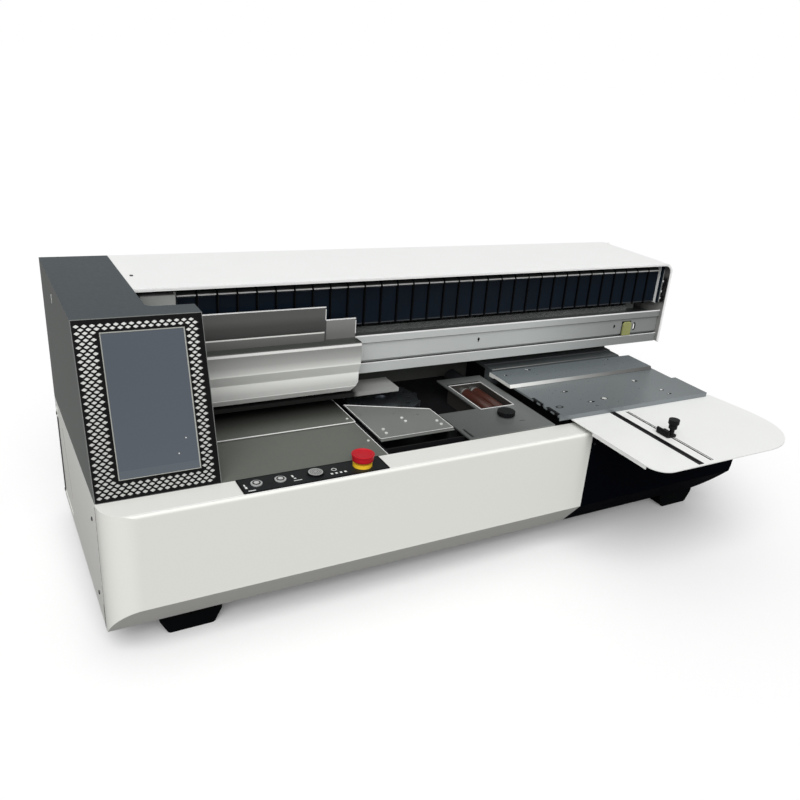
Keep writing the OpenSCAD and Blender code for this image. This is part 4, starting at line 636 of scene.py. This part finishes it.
def make_screen_trim():
    """The bright trim round the screen, a lighter band at its foot and two small lights."""
    (x0, x1), (z0, z1) = SCREEN_X, SCREEN_Z
    trim = border_boxes((x0 - 1.6, x1 + 2.0, z0 - 1.2, z1 + 1.8), (x0, x1, z0, z1), -1.7, 0.5)
    soften(blocks("screen_trim", trim, TRIM, place=on_slope), 0.3)
    band = ((x0 + 0.4, z0 + 0.4, SCREEN_FACE - 0.3), (x1 - 0.4, z0 + 12.5, SCREEN_FACE))
    blocks("screen_foot_band", [band], SCREEN_BAND, place=on_slope)
    bm = bmesh.new()
    for x, z in ((142, 81), (129, 58)):
        solid_z(bm, oval(x, z, 1.0, 1.0, 16), SCREEN_FACE - 0.35, SCREEN_FACE, on_slope)
    piece("screen_lights", bm, MARK_WHITE)


def make_tower_slot():
    """The oval latch hole high on the tower's left side: a flat oval of painted shade, with a white
    latch in it.
    """
    y, z = 368.0, 499.0
    for name, shift, rx, ry, x0, x1, mat in (("hole", 0.0, 4.2, 9.5, 0.05, -0.25, BLACK_AND_SHADE),
                                             ("latch", -2.1, 2.4, 8.2, -0.2, -0.6, MARK_WHITE)):
        bm = bmesh.new()
        solid_x(bm, oval(y + shift, z, rx, ry, 24), x0, x1)
        piece("tower_slot_" + name, bm, mat)


# ---------------------------------------------------------------- side seams and hood

def make_left_seams():
    """Joints of the left panel: a seam and a slot to the front cover, a gap to the rear, with the slot
    and the gap painted black as painted shade, painted highlights on the lit rims of the panel's edges,
    and a strip of painted shade for a shallow groove.
    """
    edge, sunk, proud = 54.8, 0.3, -0.15
    blocks("cover_seam", [((proud, edge, 88.0), (sunk, edge + 4.0, 268.0))], SEAM)
    blocks("panel_gaps", [((proud, edge, 46.0), (sunk, edge + 6.0, 88.0)),
                          ((proud, 506.0, 64.0), (sunk, 520.0, 222.0))], BLACK_AND_SHADE)
    # Painted highlights on the lit rims along the panel's front and rear edges.
    blocks("panel_rims", [((-0.2, 60.0, 90.0), (sunk, 65.0, 266.0)),
                          ((-0.2, 520.2, 46.0), (sunk, 525.8, 240.0))], HIGHLIGHT_WHITE)
    # A strip of painted shade where the panel has a shallow groove.
    bm = bmesh.new()
    solid_x(bm, [(431.0, 232.0), (375.0, 110.0), (383.0, 107.0), (439.0, 229.0)], sunk, -0.12)
    piece("panel_groove_shade", bm, GROOVE_SHADE)


# The rim's left and right end, the foot of the end wall and the radius of the upper right edge
HOOD_X = 118.0
HOOD_END = local_box("hood")[1].x
HOOD_LOW = local_box("hood")[0].z + 0.5
HOOD_R = 26.0


def hood_path(inset):
    """The hood's outline in (x, z) from the tower to the foot of its right end, set inwards."""
    r = HOOD_R - inset
    turns = [math.radians(a) for a in range(0, 91, 9)]
    arc = [(HOOD_END - HOOD_R + r * math.sin(t), TOWER_H - HOOD_R + r * math.cos(t)) for t in turns]
    return [(HOOD_X, TOWER_H - inset), *arc, (HOOD_END - inset, HOOD_LOW)]


def hood_strip(name, mat, outer, inner, y0, y1):
    """A bent strip between two insets of the hood's outline."""
    a, b = hood_path(outer), hood_path(inner)
    bm = bmesh.new()
    for k in range(len(a) - 1):
        solid_y(bm, [a[k], a[k + 1], b[k + 1], b[k]], y0, y1)
    piece(name, bm, mat)


def make_hood_trim():
    """The hood's front rim with a painted highlight, and painted shade over the hood's inside behind it.
    """
    hood_strip("hood_rim", HIGHLIGHT_WHITE, 0.6, 3.4, 287.6, 288.3)
    hood_strip("hood_inner_shade", HOOD_INSIDE_SHADE, 2.5, 3.3, 291.0, 522.0)


# ---------------------------------------------------------------- bright edges

# Fronts of the bright edges, a little before the beam's lips and the clamp's rear jaw
LIP_Y = local_box("guide_beam")[0].y - 0.3
REAR_JAW_Y = local_box("clamp_rear_jaw")[0].y - 0.2
# Top of the bright edges round the levelling plate
LEVEL_TOP = 276.4


def make_edges():
    """Painted highlights: thin bright lines on the corners of the sheets and profiles, where they catch
    the light.
    """
    blocks("beam_edges", [((115.5, LIP_Y, z0), (1356.9, LIP_Y + 1.5, z1))
                          for z0, z1 in ((408.6, 411.3), (351.0, 352.3))], HIGHLIGHT_EDGE)
    blocks("deck_edges", [((189.6, 195.6, LEVEL_TOP - 1.2), (486.9, 197.2, LEVEL_TOP)),
                          ((486.2, 54.6, DECK_H - 0.6), (487.2, 196.0, DECK_H + 0.4)),
                          ((486.2, 198.0, LEVEL_TOP - 1.0), (487.2, 339.5, LEVEL_TOP))], HIGHLIGHT_EDGE)
    # Painted highlight along the front cover's top edge.
    blocks("cover_edge", [((40.0, 3.0, DECK_H - 0.2), (862.0, 5.2, DECK_H + 0.25))], HIGHLIGHT_WHITE)
    # Painted highlight on the front nip jaw's bevel, fading to the right.
    blocks("nip_jaw_bevel", [((868.6, 298.2, 302.6), (1244.0, 301.6, 303.3))], BEVEL)
    rear_jaw = [((x0, REAR_JAW_Y, z0), (x1, REAR_JAW_Y + 3.4, z1)) for x0, x1, z0, z1 in (
        (200.2, 460.8, 475.9, 477.2), (461.4, 523.8, 449.9, 451.2),
        (459.9, 461.2, 451.6, 472.6), (522.9, 524.2, 420.0, 446.8))]
    blocks("rear_jaw_edges", rear_jaw, HIGHLIGHT_EDGE, "carriage")
    # The rear jaw's step face, painted lighter towards its top.
    step = ((462.0, REAR_JAW_Y - 0.05, 412.0), (522.6, REAR_JAW_Y + 0.4, 449.4))
    blocks("rear_jaw_step_face", [step], STEP_SHEET, "carriage")


def make_mill_edges():
    """Painted highlights: bright bars along the four edges of the milling plate, each set inwards by its
    width.
    """
    top = local_box("mill_plate")[1].z
    corners = [Vector(c) for c in ((495, 103), (652, 103), (652, 199), (495, 270))]
    bm = bmesh.new()
    for k, width in enumerate((1.2, 1.0, 2.6, 1.0)):
        a, b = corners[k], corners[(k + 1) % 4]
        run = (b - a).normalized()
        side = Vector((-run.y, run.x)) * width
        solid_z(bm, [a, b, b + side, a + side], top - 0.9, top + 0.25)
    piece("mill_plate_edges", bm, HIGHLIGHT_EDGE)


# ---------------------------------------------------------------- glue station

# Radius of the rollers with the glue on them, a little more than their own
COAT_R = 12.35


def make_glue():
    """Glue in the bath up to the rollers' axes and on the rollers, and a painted highlight along the rim
    of the tank.
    """
    level = middle("roller_left").z
    soften(blocks("glue_surface", [((762.2, 173.2, 240.5), (779.5, 297.5, level))], GLUE), 1.0)
    for roller in ("roller_left", "roller_right"):
        axis = middle(roller)
        bm = bmesh.new()
        solid_y(bm, oval(axis.x, axis.z, COAT_R, COAT_R, 40), 180.0, 291.0)
        piece(roller.replace("roller", "glue_coat"), bm, GLUE_COAT, roller, smooth=30)
    (x0, y0, _), (x1, y1, top) = local_box("glue_tank")
    rim = border_boxes((x0 - 0.4, x1 + 0.4, y0 - 0.4, y1 + 0.4),
                       (x0 + 0.9, x1 - 0.9, y0 + 0.9, y1 - 1.1), top - 1.0, top + 0.5)
    blocks("tank_rim_edges", rim, HIGHLIGHT_EDGE)


# ---------------------------------------------------------------- controls

STOP_X = 425.0
STOP_Y = 30.5
# Height of the stop button's face, inside its raised rim
STOP_TOP = 295.3


def make_marks():
    """Plain white marks beside the buttons: bars, dots and a ring, with no letters."""
    z0, z1 = 274.15, 274.35
    bars = [(217.0, 20.0, 220.5, 26.0), (217.0, 28.0, 219.4, 34.0), (219.0, 10.5, 231.0, 12.6),
            (298.5, 31.0, 301.5, 38.0), (299.5, 25.0, 303.5, 27.6), (297.0, 18.0, 311.0, 19.6)]
    bars += [(362.0 + 8.2 * i, 17.5, 366.0 + 8.2 * i, 22.0) for i in range(4)]
    bm = bmesh.new()
    for x0, y0, x1, y1 in bars:
        block(bm, (x0, y0, z0), (x1, y1, z1))
    rings = lathe(bm, 373.0, 33.0, [(4.6, z0), (4.6, z1), (3.4, z1), (3.4, z0)], 24)
    bridge(bm, rings[-1], rings[0])
    piece("control_marks", bm, MARK_WHITE)


def make_control_border():
    """Black border line of the control film."""
    (x0, y0, _), (x1, y1, top) = local_box("control_plate")
    boxes = border_boxes((x0 + 0.3, x1 - 0.3, y0 + 0.3, y1 - 0.3),
                         (x0 + 3.0, x1 - 3.0, y0 + 3.0, y1 - 2.4), top - 0.3, top + 0.1)
    blocks("control_border", boxes, BELLOWS_RIB)


def make_button_faces():
    """Grey symbols on the two buttons, and the buzzer's grille with its holes as dots of painted shade.
    """
    for name in ("button_left", "button_right"):
        x, y, _ = middle(name)
        bm = bmesh.new()
        solid_z(bm, oval(x, y, 4.4, 4.4, 28), 276.4, 277.0)
        piece(name + "_symbol", bm, MARK_GREY, name)
    buzzer_x, buzzer_y, _ = middle("buzzer")
    bm = bmesh.new()
    solid_z(bm, oval(buzzer_x, buzzer_y, 12.4, 12.4, 40), 277.1, 277.6)
    soften(piece("buzzer_grille", bm, GRILLE), 0.2)
    bm = bmesh.new()
    for ring_r in (3.2, 6.2, 9.2):
        for x, y in oval(buzzer_x, buzzer_y, ring_r, ring_r, int(ring_r * 2.6)):
            solid_z(bm, oval(x, y, 0.8, 0.8, 10), 277.5, 277.75)
    piece("buzzer_holes", bm, BLACK_AND_SHADE)


def polar(cx, cy, r, degrees):
    """A point at a radius and an angle about a centre."""
    return cx + r * math.cos(math.radians(degrees)), cy + r * math.sin(math.radians(degrees))


def arc_bar(bm, cx, cy, r0, r1, start, sweep, z0, z1, steps=14):
    """A flat bar bent round a centre."""
    angles = [start + sweep * i / steps for i in range(steps + 1)]
    outline = [polar(cx, cy, r1, a) for a in angles] + [polar(cx, cy, r0, a) for a in angles[::-1]]
    lower = [bm.verts.new(at(x, y, z0)) for x, y in outline]
    upper = [bm.verts.new(at(x, y, z1)) for x, y in outline]
    bridge(bm, lower, upper)
    last = len(outline) - 1
    for ring in (lower, upper):
        for i in range(steps):
            bm.faces.new((ring[i], ring[i + 1], ring[last - 1 - i], ring[last - i]))


def make_stop_arrows():
    """Two bent arrows on the stop button's face, which show the way to turn it."""
    z0, z1 = STOP_TOP - 0.1, STOP_TOP + 0.25
    sweep = 100
    bm = bmesh.new()
    for start in (20, 200):
        arc_bar(bm, STOP_X, STOP_Y, 8.0, 9.6, start, sweep, z0, z1)
        foot = start + sweep - 2
        head = [polar(STOP_X, STOP_Y, 8.8, foot + 20)]
        head += [polar(STOP_X, STOP_Y, r, foot) for r in (6.6, 11.0)]
        solid_z(bm, head, z0, z1)
    piece("stop_arrows", bm, STOP_MARK, "stop_head")


# ---------------------------------------------------------------- nipping station and tray

NIP_TABLE_TOP = local_box("nip_table")[1].z
NIP_JAW_TOP = local_box("nip_front_jaw")[1].z

# Sunk screws and slots: (x, y) of the middle, then half the length and half the width
TABLE_SCREWS = [(965.0, 156.0, 8.0, 4.0), (986.0, 91.0, 9.0, 3.4), (1026.0, 97.0, 9.0, 6.0),
                (1172.0, 158.0, 8.0, 3.6), (1194.0, 94.0, 7.0, 3.0), (1196.0, 72.0, 7.0, 3.0)]
JAW_SCREWS = [(951.0, 276.0, 8.0, 3.2), (878.0, 262.0, 6.0, 3.0), (1190.0, 280.0, 6.0, 2.4)]


def make_sunk_screws(name, places, top, body):
    """Dark ovals of painted shade for the recesses in a plate, each with a painted highlight for the
    screw head in it.
    """
    bm = bmesh.new()
    for x, y, rx, ry in places:
        solid_z(bm, oval(x, y, rx, ry, 20), top - 0.3, top + 0.04)
    piece(name, bm, BLACK_AND_SHADE, body)
    bm = bmesh.new()
    for x, y, rx, ry in places:
        solid_z(bm, oval(x - rx * 0.25, y + ry * 0.2, rx * 0.38, ry * 0.42, 20), top - 0.3, top + 0.07)
    piece(name + "_heads", bm, HIGHLIGHT_EDGE, body)


def make_nip_hardware():
    """Screws of the nipping plates, the black stops on the table's left edge, and a pin with its eye."""
    make_sunk_screws("nip_table_screws", TABLE_SCREWS, NIP_TABLE_TOP, "machine")
    make_sunk_screws("nip_jaw_screws", JAW_SCREWS, NIP_JAW_TOP, "nip_jaw")
    pin_x, pin_y = 899.0, 90.0
    bm = bmesh.new()
    block(bm, (868.6, 112.0, 291.5), (874.5, 147.0, 296.2))
    block(bm, (868.6, 58.0, 291.5), (875.5, 96.0, 296.2))
    solid_z(bm, oval(pin_x, pin_y, 9.5, 6.5, 20), NIP_TABLE_TOP - 0.3, NIP_TABLE_TOP + 0.05)
    soften(piece("table_stops", bm, BLACK_PLASTIC), 0.4)
    bm = bmesh.new()
    solid_z(bm, oval(pin_x, pin_y, 5.5, 3.6, 20), NIP_TABLE_TOP - 0.3, NIP_TABLE_TOP + 0.1)
    piece("pin_eye", bm, BLUE_STEEL)


def make_tray_details():
    """Black sides of the tray's slot and the grip round the guide's knob."""
    top = local_box("cover_tray")[1].z
    blocks("tray_slot_sides", [((x0, -197.0, top - 0.3), (x1, 41.0, top + 0.03))
                               for x0, x1 in ((1039.4, 1041.4), (1046.6, 1048.2))], BLACK_PLASTIC)
    knob = middle("guide_knob")
    bm = bmesh.new()
    rings = lathe(bm, knob.x, knob.y, [(7.6, 302.2), (8.6, 303.0), (8.6, 317.0)], 28)
    bm.faces.new(rings[0][::-1])
    bm.faces.new(rings[-1])
    piece("guide_knob_grip", bm, BLACK_PLASTIC, "guide_knob", smooth=40)


# ---------------------------------------------------------------- beam and right end

# Back of the sensors' cases, just before the beam's web
CASE_BACK = 302.9
SENSOR_X = (242.5, 1242.0)
SENSOR_W = 26.0
SENSOR_Z = (353.5, 387.0)


def make_sensor_cases():
    """Round-shouldered cases of the two position sensors, in place of their plain blocks."""
    z0, z1 = SENSOR_Z
    bm = bmesh.new()
    for x in SENSOR_X:
        solid_y(bm, [(x, z0), (x + SENSOR_W, z0), (x + SENSOR_W, z1 - 4.5), (x + SENSOR_W - 4.0, z1),
                     (x + 5.0, z1), (x, z1 - 5.5)], 296.8, CASE_BACK)
    obj = piece("sensor_cases", bm, SENSOR)
    soften(obj, 1.0)
    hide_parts("end_sensors")
    blocks("sensor_gaskets", [((x - 1.2, 301.6, z0 - 1.1), (x + SENSOR_W + 1.2, CASE_BACK, z1 + 1.2))
                              for x in SENSOR_X], BLACK_AND_SHADE)


def make_beam_openings():
    """Small oval openings along the beam's web as ovals of painted shade, and a painted highlight for
    the stud in the largest one.
    """
    bm = bmesh.new()
    for x, z, rx, rz in ((1282.0, 373.0, 5.0, 10.5), (1217.0, 378.0, 2.6, 3.6),
                         (824.0, 379.0, 2.6, 3.6)):
        solid_y(bm, oval(x, z, rx, rz, 20), 303.05, 302.6)
    piece("beam_openings", bm, BLACK_AND_SHADE)
    bm = bmesh.new()
    solid_y(bm, oval(1280.0, 373.0, 2.0, 7.5, 16), 302.7, 302.0)
    piece("beam_slot_stud", bm, HIGHLIGHT_EDGE)


def make_end_hardware():
    """The dark end frame of the bellows, its light flange, and the black catch with painted highlights
    for its bolts.
    """
    blocks("end_frame", [((1343.3, 304.6, 430.0), (1350.0, 307.8, 520.5))], BELLOWS)
    blocks("end_flange", [((1350.2, 303.0, 430.0), (1351.4, 322.0, 512.0))], ZINC)
    catch_x, catch_y = 1351.6, 312.0
    catch = blocks("end_catch", [((catch_x, 296.0, 434.0), (1357.8, catch_y, 448.0)),
                                 ((catch_x, 297.0, 472.0), (1358.2, catch_y, 490.0)),
                                 ((catch_x, 300.0, 448.0), (1355.5, catch_y, 472.0))], BLACK_PLASTIC)
    soften(catch, 0.8)
    bm = bmesh.new()
    for z in (441.0, 458.0, 483.0):
        solid_x(bm, oval(303.0, z, 2.6, 2.6, 16), 1350.6, 1352.4)
    piece("end_bolts", bm, HIGHLIGHT_EDGE, smooth=30)


make_bellows()
make_diamonds()
make_fascia_border()
make_screen_trim()
make_tower_slot()
make_left_seams()
make_hood_trim()
make_edges()
make_mill_edges()
make_glue()
make_marks()
make_control_border()
make_button_faces()
make_stop_arrows()
make_nip_hardware()
make_tray_details()
make_sensor_cases()
make_beam_openings()
make_end_hardware()

# ---------------------------------------------------------------- stage, light and camera

# The photo's camera: its place, its turns, its lens (mm) and the picture's middle (pixels)
CAMERA_PLACE = (-123.4, -1076.1, 915.2)
CAMERA_YAW = math.radians(33.19)
CAMERA_PITCH = math.radians(-23.81)
CAMERA_ROLL = math.radians(5.95)
CAMERA_LENS = 36.0
SENSOR_WIDTH = 36.0
PICTURE = 800.0
PICTURE_MIDDLE = (452.56, 421.31)

# The sky's light, the floor's tone for other rays and for the camera, and its glow for the camera
SKY_LIGHT = 0.46
FLOOR_TONE = 0.15
FLOOR_SEEN = 0.95
FLOOR_GLOW = 0.04
FLOOR_HALF = 40.0

# The key light: the way to it, its power and its width in degrees
KEY_TOWARD = (-0.35, -0.62, 0.72)
KEY_POWER = 2.52
KEY_SPREAD = 56.0


def make_camera():
    """The photo's camera."""
    level_reach = math.cos(CAMERA_PITCH)
    forward = Vector((math.sin(CAMERA_YAW) * level_reach, math.cos(CAMERA_YAW) * level_reach,
                      math.sin(CAMERA_PITCH)))
    level = Vector((math.cos(CAMERA_YAW), -math.sin(CAMERA_YAW), 0))
    upright = level.cross(forward)
    right = level * math.cos(CAMERA_ROLL) + upright * math.sin(CAMERA_ROLL)
    up = right.cross(forward)
    turn = Matrix((right, up, -forward)).transposed()
    data = bpy.data.cameras.new("camera")
    data.lens = CAMERA_LENS
    data.sensor_width = SENSOR_WIDTH
    data.shift_x = (PICTURE / 2 - PICTURE_MIDDLE[0]) / PICTURE
    data.shift_y = (PICTURE_MIDDLE[1] - PICTURE / 2) / PICTURE
    data.clip_end = 50
    camera = bpy.data.objects.new("camera", data)
    bpy.context.scene.collection.objects.link(camera)
    camera.matrix_world = Matrix.Translation(at(*CAMERA_PLACE)) @ turn.to_4x4()
    bpy.context.scene.camera = camera


def by_camera(tree, others, seen):
    """A value for the rays of the camera, and another one for all others."""
    path = tree.nodes.new("ShaderNodeLightPath")
    return mapped(tree, path.outputs["Is Camera Ray"], others, seen, (0, 1))


def make_world():
    """An even sky: white behind the machine, softer as a source of light."""
    world = bpy.data.worlds.new("studio")
    bpy.context.scene.world = world
    world.use_nodes = True
    tree = world.node_tree
    background = tree.nodes["Background"]
    background.inputs["Color"].default_value = (1, 1, 1, 1)
    tree.links.new(by_camera(tree, SKY_LIGHT, 1.0), background.inputs["Strength"])


def make_key_light():
    """One broad far light from the front left."""
    data = bpy.data.lights.new("key", "SUN")
    data.energy = KEY_POWER
    data.angle = math.radians(KEY_SPREAD)
    obj = bpy.data.objects.new("key", data)
    bpy.context.scene.collection.objects.link(obj)
    obj.rotation_euler = (-Vector(KEY_TOWARD)).to_track_quat("-Z", "Y").to_euler()


def make_floor():
    """White ground: it takes the shadow, and camera rays see it lit up to white."""
    corners = ((-1, -1), (1, -1), (1, 1), (-1, 1))
    bm = bmesh.new()
    bm.faces.new([bm.verts.new((x * FLOOR_HALF, y * FLOOR_HALF, 0)) for x, y in corners])
    mesh = bpy.data.meshes.new("floor")
    bm.to_mesh(mesh)
    bm.free()
    obj = bpy.data.objects.new("floor", mesh)
    bpy.context.scene.collection.objects.link(obj)
    mat, tree, shader = principled("floor_white", (0.9, 0.9, 0.9), 0.7, Specular_IOR_Level=0.0)
    shader.inputs["Emission Color"].default_value = (1, 1, 1, 1)
    tree.links.new(by_camera(tree, FLOOR_TONE, FLOOR_SEEN), shader.inputs["Base Color"])
    tree.links.new(by_camera(tree, 0.0, FLOOR_GLOW), shader.inputs["Emission Strength"])
    mesh.materials.append(mat)


bpy.context.scene.view_settings.view_transform = "Standard"
make_camera()
make_world()
make_floor()
make_key_light()
